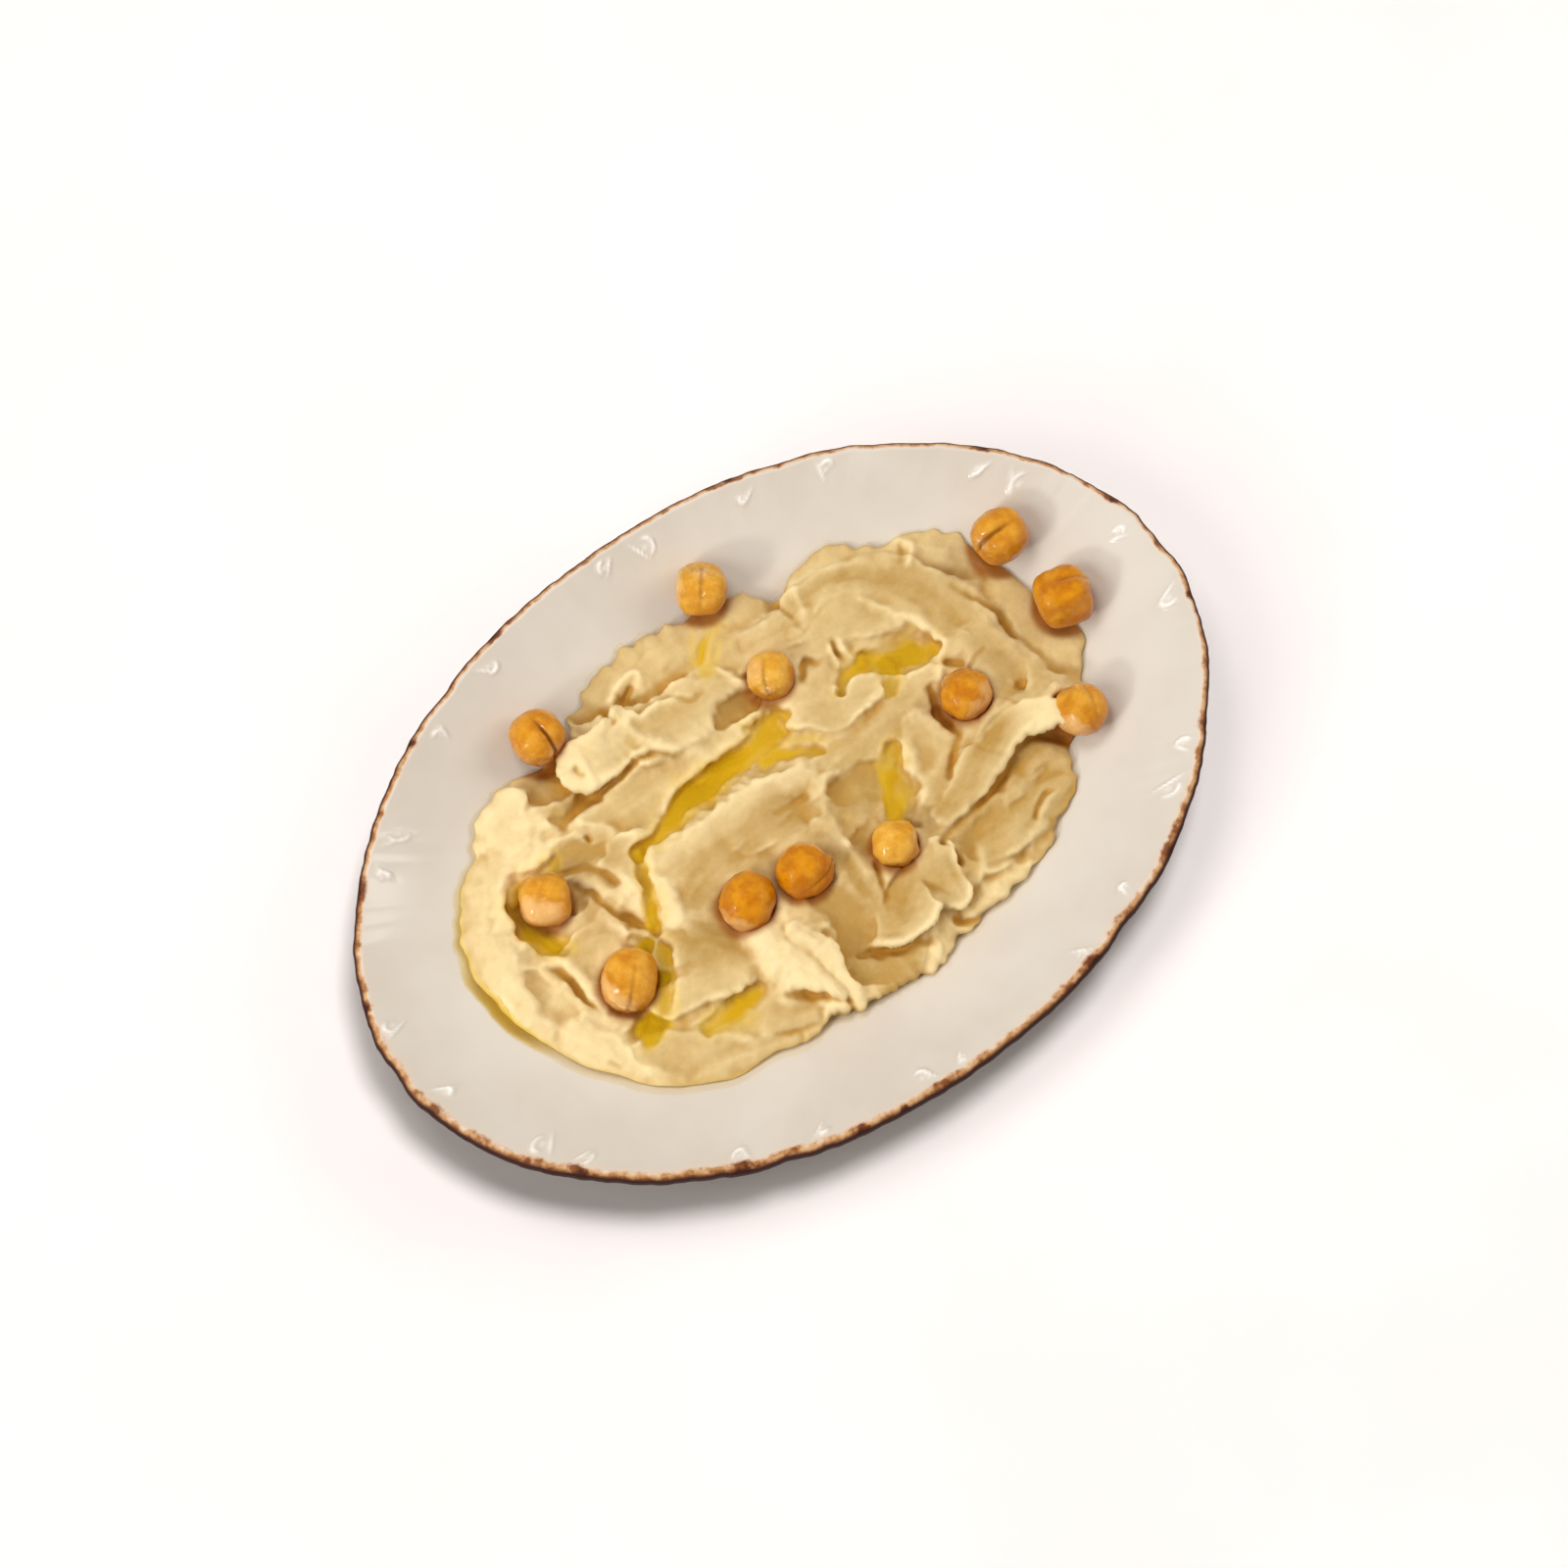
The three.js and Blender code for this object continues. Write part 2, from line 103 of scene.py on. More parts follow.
# Broad strokes, each one over those before it: path of (x, y, height, half width), how hollow,
# rise to the left of the path, how pale (0 pressed smooth and tan, 1 cream), how wide its edge is.
# How pale is partly the paste's own tone, partly painted light for how each stroke faces the light.
FACETS = {
    "north slope": ([(-23, 47, 10.5, 3), (-8, 46, 13, 6), (10, 46, 14, 7), (23, 44, 13, 5)], -0.6, 0, 0.5,
        1),
    "north east step": ([(12, 38, 15.2, 4), (20, 36.5, 15.6, 5), (27, 33, 15.6, 5)], 0.2, 0.05, 0.4, 0.8),
    "low corner": ([(-45, 38, 13, 4), (-32, 37, 12.4, 5)], 0.6, 0, 0.4, 1.2),
    "west crest": ([(-56, 38, 13.8, 3), (-48, 38, 14.6, 4.5)], -1.2, 0, 1, 1.2),
    "west shoulder": ([(-58, 31, 13.8, 5.5), (-48, 29, 14.6, 6.5)], -0.5, 0.05, 1, 1.4),
    "west band": ([(-61, 28, 13, 5), (-68, 17, 13.5, 5), (-71, 5, 13.6, 5), (-70.5, -7, 13, 4.4),
        (-67.6, -15, 12.4, 4.4)], -1.2, 0.04, 0.8, 1.6),
    "first pea hollow": ([(-60.5, 17, 12, 3.4), (-59, 10, 10.9, 4.4), (-55, 5.6, 11.8, 3.6)], 1, 0, 0.4,
        2),
    "first pea bowl": ([(-56, 19, 11.6, 4), (-49, 15, 12, 5)], 1, 0, 0.4, 1.2),
    "hollow floor": ([(-56, 3, 13.2, 3), (-50, 2, 13.8, 5), (-46, -3, 13.4, 4)], 0.3, -0.05, 0.3, 0.9),
    "west dip": ([(-67, 2, 12.6, 3), (-65.5, -8, 12, 3.6)], 0.7, -0.08, 0.75, 0.7),
    "south west slope": ([(-67, -13, 12.6, 3.5), (-63, -21, 12.4, 5), (-60, -28, 11, 4)], -1.3, 0, 0.9,
        1.2),
    "second pea pool": ([(-43, -4, 11.4, 3), (-41.5, -11, 11, 3.5), (-48, -17, 10.8, 5),
        (-53, -21, 10.6, 4)], 0.8, 0, 0.3, 1.2),
    "shelf": ([(-54, -26, 12.2, 5), (-47, -33, 11.8, 6), (-39, -37, 11.2, 4)], 0.1, 0, 0.4, 0.7),
    "shelf rim": ([(-49, -38, 10.6, 2.4), (-37, -40.3, 10.8, 2.6), (-26, -41.2, 10.6, 2.4)], -1, 0, 0.5,
        1.2),
    "island": ([(-38, -10, 14.9, 4.5), (-31, -13, 15, 5.5), (-27, -19, 14.6, 4)], 0.1, -0.04, 0.1, 0.7),
    "island foot": ([(-45, -19, 13.2, 4), (-36, -20.5, 14.2, 4.5), (-28, -23, 14.2, 4)], -0.7, 0.08, 0.4,
        1.2),
    "small facet": ([(-46, 20.5, 13.6, 3), (-39, 19, 13.8, 3.6)], 0.3, 0.06, 0, 0.6),
    "trench side": ([(-40, 30, 14.2, 3), (-33, 29, 13.4, 3)], 0.3, 0.15, 0, 1.2),
    "first block": ([(-29.5, 35.8, 18, 5.6), (-18, 35.2, 17.2, 5.8)], -0.5, 0, 0.75, 0.45),
    "second block": ([(-14, 31, 18, 6), (-4, 30, 17.2, 7), (7, 28, 15.6, 6)], 0.3, -0.03, 0.5, 0.45),
    "band": ([(-36, 23.5, 14.6, 4), (-25, 22.5, 14.8, 5.2), (-10, 21.5, 15, 5), (3, 22.5, 14.6, 4)], 0.2,
        0.16, 0.5, 0.8),
    "left back": ([(-29.5, 9, 16.2, 2.6), (-31.3, 2, 16, 3.2), (-32.5, -5, 15.2, 3)], -1, 0, 0.9, 1.2),
    "centre top": ([(-27, 7.5, 15.6, 3.2), (-15, 7.5, 16.4, 4), (0, 7, 16.6, 4), (9, 5, 16.2, 4)], -0.9,
        0, 0.6, 2),
    "centre left facet": ([(-27, -3, 15.4, 3), (-19, 0, 16.4, 4.2), (-12, -1, 16, 3.8)], 0.1, 0.08, 0.2,
        1.2),
    "centre right facet": ([(-8, 0, 16.6, 4.5), (0, 0, 17, 5), (6, -1, 16.4, 4)], 0.1, 0.06, 0.2, 1),
    "crescent": ([(-32, 11.5, 14.6, 0.7), (-24, 13.6, 13.6, 1.6), (-15, 16.4, 12.6, 3.3),
        (-5, 17, 12.2, 3.9), (5, 16.4, 12.4, 4.4), (12, 18.5, 13, 3.4)], 1, 0, 0.3, 1.6),
    "crescent branch": ([(3, 13.5, 12.8, 2.4), (10, 11, 13.2, 1.7), (17, 7.6, 14, 0.9)], 0.7, 0, 0.3,
        1.2),
    "upper hollow": ([(3, 27, 14.4, 2.4), (10, 27, 12.8, 3.2)], 0.5, 0, 0, 0.9),
    "middle facet": ([(17, 18.5, 15.6, 5), (25, 15, 15.6, 6), (32, 12.5, 15, 4)], 0.2, 0.03, 0.5, 1.3),
    "middle shelf": ([(33, 7, 14.3, 2.6), (46, 8.6, 14.2, 3)], 0.2, 0, 0.4, 1),
    "outer rim": ([(32, 42.5, 13.6, 3.2), (44, 40.5, 14.4, 3.4), (54, 36, 14.6, 3.4), (62, 31, 14.2, 3.6),
        (68, 24, 13.6, 3.6)], -0.3, 0.06, 0.6, 1.4),
    "outer sweep": ([(30.5, 37.5, 15.2, 4), (42, 36.5, 15.8, 5), (52, 30.5, 16, 6), (57.5, 23, 15.8, 6),
        (58.5, 13, 15.6, 5)], 0.6, -0.03, 0.25, 1.4),
    "inner sweep": ([(30, 31, 16, 5), (39, 30.5, 16, 5.6), (46, 26, 15.6, 4.6), (49.5, 20.5, 15.2, 2.6)],
        0.4, 0.03, 0.5, 1.3),
    "corner pool": ([(30, 19, 13.6, 1.5), (36, 19, 12.8, 2.8), (42, 17, 12, 5.2), (48, 15, 12, 4.4),
        (51, 14, 12.6, 2)], 0.6, 0, 0.3, 1.4),
    "film": ([(20, 3.4, 15.2, 2.6), (28, 3, 14.8, 3), (36, 2.6, 14.6, 3), (41, 3, 14.4, 2.4)], 0.2, 0,
        0.3, 1.2),
    "lower hollow": ([(15, -3, 15, 4.5), (21, -5.5, 14, 6.5), (25, -9.5, 13.4, 5), (21, -14, 13.6, 4)],
        0.8, 0, 0.1, 2),
    "slab": ([(36.5, 0, 15.4, 3.4), (36.5, -8, 15.2, 4.2)], 0.1, 0.12, 0.4, 0.7),
    "east face": ([(58.5, 9, 15.9, 4.5), (60.5, -2, 15.7, 5)], 0.3, 0, 0.3, 0.9),
    "east end": ([(70, 17, 13.4, 3.6), (72.5, 6, 13.8, 5), (73.5, -6, 13, 4.4)], -0.6, 0.03, 0.4, 1.6),
    "east slope": ([(46, -24, 13.8, 4.5), (57, -22.5, 12.8, 4.8)], -0.3, 0, 0.2, 1.2),
    "lower east slope": ([(33, -31, 13.4, 4), (43, -32, 13.2, 5), (53, -29, 12, 4)], -0.5, 0.05, 0.2,
        1.2),
    "lower east lobe": ([(21, -41, 10.8, 2.6), (30, -41, 11.4, 3.2), (39, -40.6, 10.4, 3)], -1.4, 0, 0.7,
        0.8),
    "flap": ([(30, -19.5, 15.6, 3.2), (42, -16, 17.2, 4.4), (54, -12.5, 18.4, 4), (64, -11, 19, 3.2)],
        -0.1, -0.14, 0.1, 0.6),
    "pea step": ([(29, -14.5, 15.2, 2.2), (38, -10.5, 15.4, 2.2)], 0, 0.1, 0.4, 0.7),
    "south facet": ([(-2, -19.5, 15.8, 4.5), (-1, -27, 14.4, 5.2), (-4, -33, 13, 4)], 0.8, -0.05, 0, 0.8),
    "south ridge": ([(-20, -20, 16, 4.5), (-18.5, -29, 15.4, 4.8), (-13, -40, 14.2, 3.6)], -1.4, 0, 1, 1),
    "south tongue": ([(-30, -36.5, 12, 2.6), (-20, -39.5, 11.6, 3)], -0.4, 0, 0.4, 1.2),
    "torn band": ([(-13, -23, 16, 3), (-10.5, -32, 15.4, 2.8), (-10.5, -42, 13.6, 2.2)], -0.8, 0, 0.9,
        0.5),
    "low facet": ([(-5, -38, 12.6, 3.6), (4, -42.5, 11.8, 3.6)], 0.2, 0.03, 0, 0.6),
    "petal": ([(16, -31, 16.6, 6), (11, -33, 16.4, 6.3), (5, -35.5, 15.6, 4)], 0.2, 0.04, 0.2, 0.4),
    "second petal": ([(22, -27.5, 16.4, 5), (21, -35, 15.2, 5)], 0.2, -0.04, 0.3, 0.45),
    "tab": ([(11.5, -42.5, 11, 1.8), (8.5, -46.5, 9.8, 1.6)], -0.8, 0, 1, 0.5),
    "south pool": ([(-41, -29.6, 12.2, 2), (-35, -29.8, 11.4, 3.4), (-27.5, -28.8, 11.9, 2.2)], 0.7, 0,
        0.3, 1.2),
}
# The end of the flap: path of (x, y, height, half width).
FLAP_TIP = [
    (50, -12.6, 18.2, 3.6), (57, -13, 19.2, 3.8), (62, -15, 20.4, 3.0), (65, -17.6, 21, 1.8),
    (66.6, -20.2, 20.8, 0.5),
]
# Raised lips: path of (x, y, how tall, half width).
RIDGES = {
    "curl": [(-17, 40.5, 1.2, 1), (-15.5, 44.5, 1.8, 1.2), (-11, 47.2, 1.8, 1.1), (-7.5, 46, 1.4, 1.1),
        (-8.5, 43, 0.6, 1)],
    "band lip": [(-37.5, 25.5, 1, 1), (-34, 21.5, 1.5, 1.4), (-31, 17.5, 1.5, 1.4), (-26, 14.8, 0.9, 1)],
    "thin lip": [(-45, 25, 0.6, 0.8), (-41, 24, 0.9, 0.8), (-38, 22.8, 0.5, 0.7)],
    "fork ridge": [(-43, 13.5, 0.8, 1.2), (-41, 9, 1.4, 1.3), (-40, 4, 1.2, 1.2), (-38, 1, 0.6, 1)],
    "fork back": [(-38.5, 15, 0.8, 1.6), (-37, 8, 1.6, 1.9), (-36.4, 3, 1.2, 1.4)],
    "lip over crack": [(-63, 4, 0.5, 1.2), (-59.4, 1.5, 1, 1.4), (-58.2, -4, 1.2, 1.5),
        (-57, -10, 1.2, 1.4), (-58, -15, 0.8, 2)],
    "pea ridge": [(-45, 3, 0.6, 1.3), (-43, -2, 1.3, 1.4), (-41.2, -8, 1.3, 1.3)],
    "shelf lip": [(-57, -19, 0.8, 1.8), (-58.3, -27, 1.2, 1.8), (-56.5, -33, 0.9, 1.8)],
    "pool crest": [(-43, -26, 0.6, 0.9), (-39, -26.8, 0.8, 0.8), (-36, -27, 0.3, 0.7)],
    "short lip": [(-38.5, -33.8, 0.6, 1.2), (-34.5, -37.2, 1, 1.4)],
    "bright bank": [(33.5, -1.5, 0.7, 1.4), (31, -7.5, 1.2, 2), (27.5, -13, 1.2, 2)],
    "saddle": [(8, -12, 1, 2.2), (9, -4, 1.4, 2.8), (12, 1, 1.2, 2.6), (19, 4, 0.6, 1.8)],
    "rib": [(7.5, -21, 0.8, 1.2), (8, -13, 1.2, 1.2)],
    "rib by pea": [(8.6, 36, 0.8, 0.9), (10, 33.2, 1.2, 1), (12, 30.6, 0.8, 0.9)],
    "block lip": [(-16, 36.5, 0.6, 1.4), (-15, 31.5, 1.2, 1.6), (-11.5, 27, 1, 1.6),
        (-6, 23.6, 0.6, 1.4)],
    "block edge": [(-30, 40, 0.4, 1), (-29.6, 33, 0.8, 1), (-28, 30.8, 0.8, 0.8), (-17, 30.2, 0.6, 0.9)],
    "upper line": [(-12, 36.6, 0.5, 0.9), (-7, 37.2, 0.8, 0.9), (0, 34.4, 0.5, 0.9)],
    "sweep lip": [(30.4, 36, 0.5, 1), (33, 41.4, 1, 1.1), (38, 42.4, 0.8, 1), (46, 39.6, 0.4, 1.1),
        (53, 34.4, 0.2, 1.2)],
    "pool lip": [(43, 31, 0.6, 0.9), (46, 27, 1, 1), (49, 22.4, 1.2, 1.2), (52, 17.4, 1.4, 1.3),
        (52.4, 12.6, 1.4, 1.3), (49, 8, 1.2, 1.1), (47, 5.4, 0.7, 1)],
    "first fin": [(31.2, 21.6, 1.2, 0.8), (31.8, 26.6, 1.2, 0.8)],
    "second fin": [(34.5, 22.6, 1, 0.9), (34.5, 26.4, 0.9, 0.8)],
    "outer fin": [(57.5, 38.2, 1.2, 1), (60, 34.5, 1.5, 0.9), (57.4, 31, 1.4, 0.9)],
    "tear": [(27.6, -39, 0.8, 1.2), (30.2, -35, 1.4, 1.4), (33, -31, 1, 1.3)],
    "tear two": [(31, -36.6, 0.5, 0.7), (35, -37.4, 0.8, 0.7), (38.5, -40, 0.5, 0.7)],
    "tear three": [(44, -35.6, 0.7, 1), (49, -33, 1.2, 1.1), (53.5, -31, 0.8, 1)],
    "flap tip": [(58, -9, 0.4, 1.4), (63, -10.5, 1, 1.5), (66, -14, 1.2, 1.5), (67, -18, 0.6, 1.1)],
    "flap top": [(33, -15.5, 0.3, 1.2), (44, -11.5, 0.7, 1.2), (56, -8.6, 0.8, 1.2)],
    "petal lip": [(-0.5, -34.6, 0.6, 0.8), (3.6, -38.4, 0.9, 0.8), (10, -40, 0.5, 0.8)],
    "middle edge": [(17, 9, 0.3, 1), (24, 8.4, 0.5, 0.9), (33, 11, 0.4, 0.8)],
}
# Cracks and creases: path of (x, y, how deep, half width).
CRACKS = {
    "block crack": [(-41, 27.5, 0.8, 1.5), (-35, 29.2, 1.8, 1.4), (-29, 30, 3.2, 1.3), (-25, 29.4, 3, 1),
        (-17, 28.9, 2.4, 0.9), (-11.5, 26, 0.8, 0.8)],
    "pea crack": [(-48.5, 21, 1, 1), (-45, 18.6, 2.2, 1.2), (-41.6, 16.4, 1.6, 1.3),
        (-39.3, 12.6, 1.7, 0.9), (-38.2, 7, 0.5, 0.8)],
    "fork": [(-46, 15, 0.8, 1), (-44.2, 10.5, 1.6, 1), (-42.4, 4.5, 1.6, 0.9), (-39.5, 0, 1.8, 1.1),
        (-37.6, -4, 1.6, 1.3), (-39.2, -11.5, 2.2, 1.3)],
    "golden crease": [(-30.2, 11.8, 0.8, 1), (-32.6, 8, 2, 1.4), (-34.2, 3.5, 2.4, 1.5),
        (-35.6, 0, 2.2, 1.5), (-37.2, -4, 1.2, 1.4)],
    "lip crack": [(-63, 3, 0.4, 0.6), (-61.2, 0.2, 1.6, 0.9), (-60.4, -5, 2.8, 1.1),
        (-59.4, -8.6, 2.4, 0.8), (-57.6, -11.6, 0.6, 0.7)],
    "curl slot": [(-14.2, 41.4, 1.4, 0.8), (-10.6, 44.2, 2.2, 0.9)],
    "north seam": [(-19, 44, 0.9, 0.8), (-19.2, 40, 1.8, 1), (-14, 39.4, 0.9, 0.8), (-6, 37.9, 0.8, 0.7),
        (-1, 34.5, 1.4, 0.7), (3, 33.6, 0.5, 0.6)],
    "notch seam": [(27.4, 41, 1.6, 1), (27.6, 37, 1, 0.9), (28.6, 33.6, 0.5, 0.8)],
    "pea seam": [(22.6, 24, 1.8, 1.1), (25.4, 26, 2, 1.1), (28.6, 25.4, 0.7, 0.8)],
    "fin slot": [(32.8, 23.2, 1.6, 0.7), (32.8, 26.8, 1.2, 0.6)],
    "fin gap": [(55.8, 33, 0.8, 0.7), (58.4, 36.6, 1.4, 0.7)],
    "crescent lip": [(-7, 20.4, 1.4, 0.8), (-3.6, 19.6, 2.4, 0.7), (2, 18.6, 1, 0.6)],
    "east seam": [(62.8, 21.5, 0.6, 0.8), (65.6, 15, 1.6, 1), (67, 9, 2, 1), (67.3, 4, 1.2, 0.8)],
    "east notch": [(53, 3.6, 1, 0.7), (56, 4.8, 1.2, 0.6), (59.4, 5.8, 0.6, 0.6)],
    "pea shadow": [(44, 5, 1.6, 1.4), (42.6, -1, 2.6, 1.7), (44, -6, 2.4, 1.5), (41, -9.6, 1.6, 1.2),
        (36.4, -13.6, 1, 1.1)],
    "pea top": [(50.4, 8.6, 1.8, 1.2), (52.6, 6, 1.6, 1.2)],
    "flap shade": [(25, -24.4, 0.9, 0.7), (31, -23.6, 1, 0.7), (39.4, -22.3, 2.2, 0.9),
        (45, -20.8, 1.8, 0.9), (52, -17.8, 1.8, 0.9), (57, -17.2, 3, 1.2), (60.6, -19, 4, 1.8),
        (62.6, -22.4, 4, 1.8)],
    "hole": [(25.2, -24.9, 3.6, 1.1), (25.5, -25.3, 3.6, 1.1)],
    "slit": [(25.8, -26.4, 1.4, 0.6), (27, -29, 1.8, 0.6), (27.1, -31.6, 2.8, 0.9)],
    "slot": [(46.4, -33, 1.6, 0.6), (49, -31, 1.6, 0.6), (51.5, -29.5, 1.6, 0.7),
        (53.6, -30.2, 0.8, 0.6)],
    "scratch": [(43.6, -27.2, 0.7, 0.6), (47, -27, 0.7, 0.6)],
    "petal crack": [(-3.6, -34.4, 1.4, 0.8), (0, -37.2, 2.6, 1), (3.2, -39.7, 2.4, 0.9),
        (7, -40.4, 1.4, 0.7), (11, -41.4, 1.2, 0.7)],
    "petal step": [(16, -30, 0.5, 0.8), (17.4, -33, 0.6, 0.8), (19.4, -36, 0.4, 0.7)],
    "tongue crack": [(-23.4, -32.8, 1, 0.8), (-19, -36.4, 2.4, 1), (-15.4, -40, 2.4, 0.9),
        (-12.6, -42.6, 2, 0.9)],
    "lobe crease": [(17.6, -41.4, 2.6, 1.2), (20.6, -42.6, 2.4, 1), (27, -43.4, 1.2, 0.7)],
    "shelf crack": [(-29, -38.4, 0.7, 0.6), (-26, -40, 1.2, 0.6), (-20, -42.4, 0.8, 0.6)],
    "pit": [(-38.2, 22.2, 2.2, 0.8), (-38, 21.2, 2.2, 0.8)],
    "dimple": [(-63.6, -22.8, 1, 0.9), (-62.4, -24.8, 1, 0.9)],
    "corner mark": [(-36, 38, 0.7, 0.7), (-34.6, 36.4, 0.7, 0.7)],
    "block pit": [(-31.6, 35.4, 1.2, 0.8), (-30.6, 33.4, 1.4, 0.8)],
    "facet line": [(-1.4, 1.8, 0.4, 0.7), (3, 1.2, 0.8, 0.7), (6, 0.4, 0.9, 0.7)],
    "nick": [(-8.4, -26.2, 0.8, 0.6), (-7.2, -28, 0.8, 0.6)],
    "east pit": [(60.8, -5.8, 1.2, 0.9), (63.2, -6, 1, 0.8)],
    "thin seam": [(28, 7, 0.4, 0.6), (32, 8.6, 0.7, 0.6), (35.2, 10.2, 0.7, 0.7)],
    "pea foot": [(10.4, -21, 1.8, 1.3), (9.6, -24, 1.6, 1.3), (8.2, -27.6, 1.2, 1.1)],
    "pea side": [(22.4, -15.4, 1.6, 1), (24, -18, 1.4, 0.9)],
}

# ---- the oil ----
# Pools: path of (x, y, half width), depth.
POOLS = {
    "crescent": ([(-31, 11.8, 1), (-22, 14, 2.4), (-13, 16.8, 3.8), (-4, 17.2, 4.2), (6, 17.4, 4.6),
        (12, 19.6, 3.4)], 0.7),
    "crescent branch": ([(4, 13.8, 1.6), (10, 11, 1.4), (17, 7.6, 0.8)], 0.3),
    "corner": ([(36.8, 20, 1.2), (40.5, 17.4, 3), (45, 15.4, 3.6), (50, 13.4, 2)], 0.7),
    "corner branch": ([(41, 15.6, 2.6), (38, 12.6, 1.8), (36, 10.4, 1)], 0.5),
    "corner streak": ([(36, 19.6, 0.8), (32, 18.4, 1.3), (28, 16.4, 0.8)], 0.2),
    "by the first pea": ([(-61.6, 17.6, 1.6), (-60.4, 11, 3), (-57.4, 6.6, 3.2)], 0.6),
    "above the first pea": ([(-60, 19.6, 1.4), (-53, 21.2, 2), (-47, 21.6, 1.2)], 0.3),
    "by the second pea": ([(-40.6, -5, 1.6), (-40.6, -11, 2.2), (-46, -19, 3), (-53, -23, 3)], 0.7),
    "south": ([(-41, -30, 1.6), (-35, -30, 2.8), (-28, -29, 1.8)], 0.5),
    "lower hollow": ([(30, -1, 1.2), (26, -5, 2), (23, -9, 2), (21, -13, 1.4)], 0.4),
    "north corner": ([(6, 38, 1.6), (10, 42, 2.4), (14, 45, 1.6)], 0.2),
    "crease": ([(-31, 11, 1), (-33, 7, 1.1), (-34.4, 3, 1.1), (-36.4, -2, 1)], 0.3),
}
# Oil at the foot of the bank: heading and spread in degrees, width, depth. The last two, faint and wide,
# are partly oil and partly a painted reflection and shade of the hummus on the glaze.
FOOT_OIL = [
    (179.5, 8, 2.3, 4.4), (170, 15, 1.6, 1.5), (200, 50, 2.2, 0.4), (0, 1000, 1.8, 0.12),
]
SKIN_UNDER = 0.5  # how far the underside of a pool lies in the hummus
SKIN_TUCK = 0.15  # how far its rim does
FILM = 0.04  # what lifts it off the bare plate


# ---- numbers over the surface ----
CURVE_STEPS = 6  # from one given point of a path to the next
LATTICE = 256  # cells before the noise repeats


def turned_from(heading, angle):
    """Degrees from a heading to an angle in radians, from -180 to 180."""
    return (np.degrees(angle) - heading + 180) % 360 - 180


def smoothstep(low, high, value):
    share = np.clip((value - low) / (high - low), 0, 1)
    return share * share * (3 - 2 * share)


def curve_through(points):
    """Points of a smooth curve through the given ones, in any number of dimensions."""
    given = np.asarray(points, float)
    padded = np.vstack([2 * given[0] - given[1], given, 2 * given[-1] - given[-2]])
    share = np.linspace(0, 1, CURVE_STEPS, endpoint=False)[:, None]
    spans = []
    for i in range(1, len(padded) - 2):
        a, b, c, d = padded[i - 1:i + 3]
        bend = (2 * a - 5 * b + 4 * c - d) * share ** 2
        twist = (-a + 3 * b - 3 * c + d) * share ** 3
        spans.append((2 * b + (c - a) * share + bend + twist) / 2)
    return np.vstack([*spans, given[-1:]])


class Lattice:
    """Smooth repeatable noise between -1 and 1."""

    def __init__(self, seed):
        self.values = np.random.default_rng(seed).random((LATTICE, LATTICE)) * 2 - 1

    def plain(self, x, y):
        column, row = np.floor(x).astype(int), np.floor(y).astype(int)
        across, up = x - column, y - row
        across = across ** 3 * (across * (across * 6 - 15) + 10)
        up = up ** 3 * (up * (up * 6 - 15) + 10)
        low = self.corner(column, row) * (1 - across) + self.corner(column + 1, row) * across
        high = self.corner(column, row + 1) * (1 - across) + self.corner(column + 1, row + 1) * across
        return low * (1 - up) + high * up

    def corner(self, column, row):
        return self.values[column % LATTICE, row % LATTICE]

    def layered(self, x, y, size, layers=3, fade=0.5):
        total = 0
        for layer in range(layers):
            turn = 0.3 + 0.6 * layer
            cos, sin = math.cos(turn), math.sin(turn)
            scale = size / 2 ** layer
            moved_x = (cos * x + sin * y) / scale + 17 * layer
            moved_y = (cos * y - sin * x) / scale + 31 * layer
            total = total + fade ** layer * self.plain(moved_x, moved_y)
        return total


def beside(path, x, y):
    """Distance to a path, the same counted to its left, and its third and fourth numbers there."""
    distance = np.full(x.shape, np.inf)
    left, third, fourth = np.zeros(x.shape), np.zeros(x.shape), np.ones(x.shape)
    for start, stop in zip(path[:-1], path[1:]):
        run = stop - start
        off_x, off_y = x - start[0], y - start[1]
        share = np.clip((off_x * run[0] + off_y * run[1]) / (run[0] ** 2 + run[1] ** 2), 0, 1)
        off_x, off_y = off_x - share * run[0], off_y - share * run[1]
        gap = np.hypot(off_x, off_y)
        nearer = gap < distance
        distance = np.where(nearer, gap, distance)
        left = np.where(nearer, np.sign(run[0] * off_y - run[1] * off_x) * gap, left)
        third = np.where(nearer, start[2] + share * run[2], third)
        fourth = np.where(nearer, start[3] + share * run[3], fourth)
    return distance, left, third, fourth


def blurred(field, cells):
    """A grid of numbers smoothed over about that many cells."""
    reach = int(math.ceil(3 * cells))
    weights = np.exp(-0.5 * (np.arange(-reach, reach + 1) / cells) ** 2)
    weights /= weights.sum()
    for axis in (0, 1):
        pad = [(reach, reach) if a == axis else (0, 0) for a in (0, 1)]
        padded = np.pad(field, pad, mode="edge")
        length = field.shape[axis]
        slices = [np.take(padded, range(i, i + length), axis) for i in range(2 * reach + 1)]
        field = sum(weight * part for weight, part in zip(weights, slices))
    return field


# ---- shapes shared by the pieces ----
def pointing(heading, rise):
    turn, lift = math.radians(heading), math.radians(rise)
    return Vector((math.cos(turn) * math.cos(lift), math.sin(turn) * math.cos(lift), math.sin(lift)))


def well_height(share):
    climb = np.maximum(0, share - WELL_SHARE) / (1 - WELL_SHARE)
    return FLOOR_HEIGHT + (RIM_HEIGHT - FLOOR_HEIGHT) * climb ** WALL_CURVE


def plate_top(x, y):
    return well_height(np.hypot(x / (HALF_LENGTH - LIP), y / (HALF_WIDTH - LIP)))


grain_broad, grain_fine, grain_torn = Lattice(3), Lattice(8), Lattice(11)
turns = np.linspace(-math.pi, math.pi, 1441)[:-1]
outline = np.array(OUTLINE, float)
outline_angle = np.arctan2(outline[:, 1], outline[:, 0])
outline_reach = np.hypot(outline[:, 0], outline[:, 1])


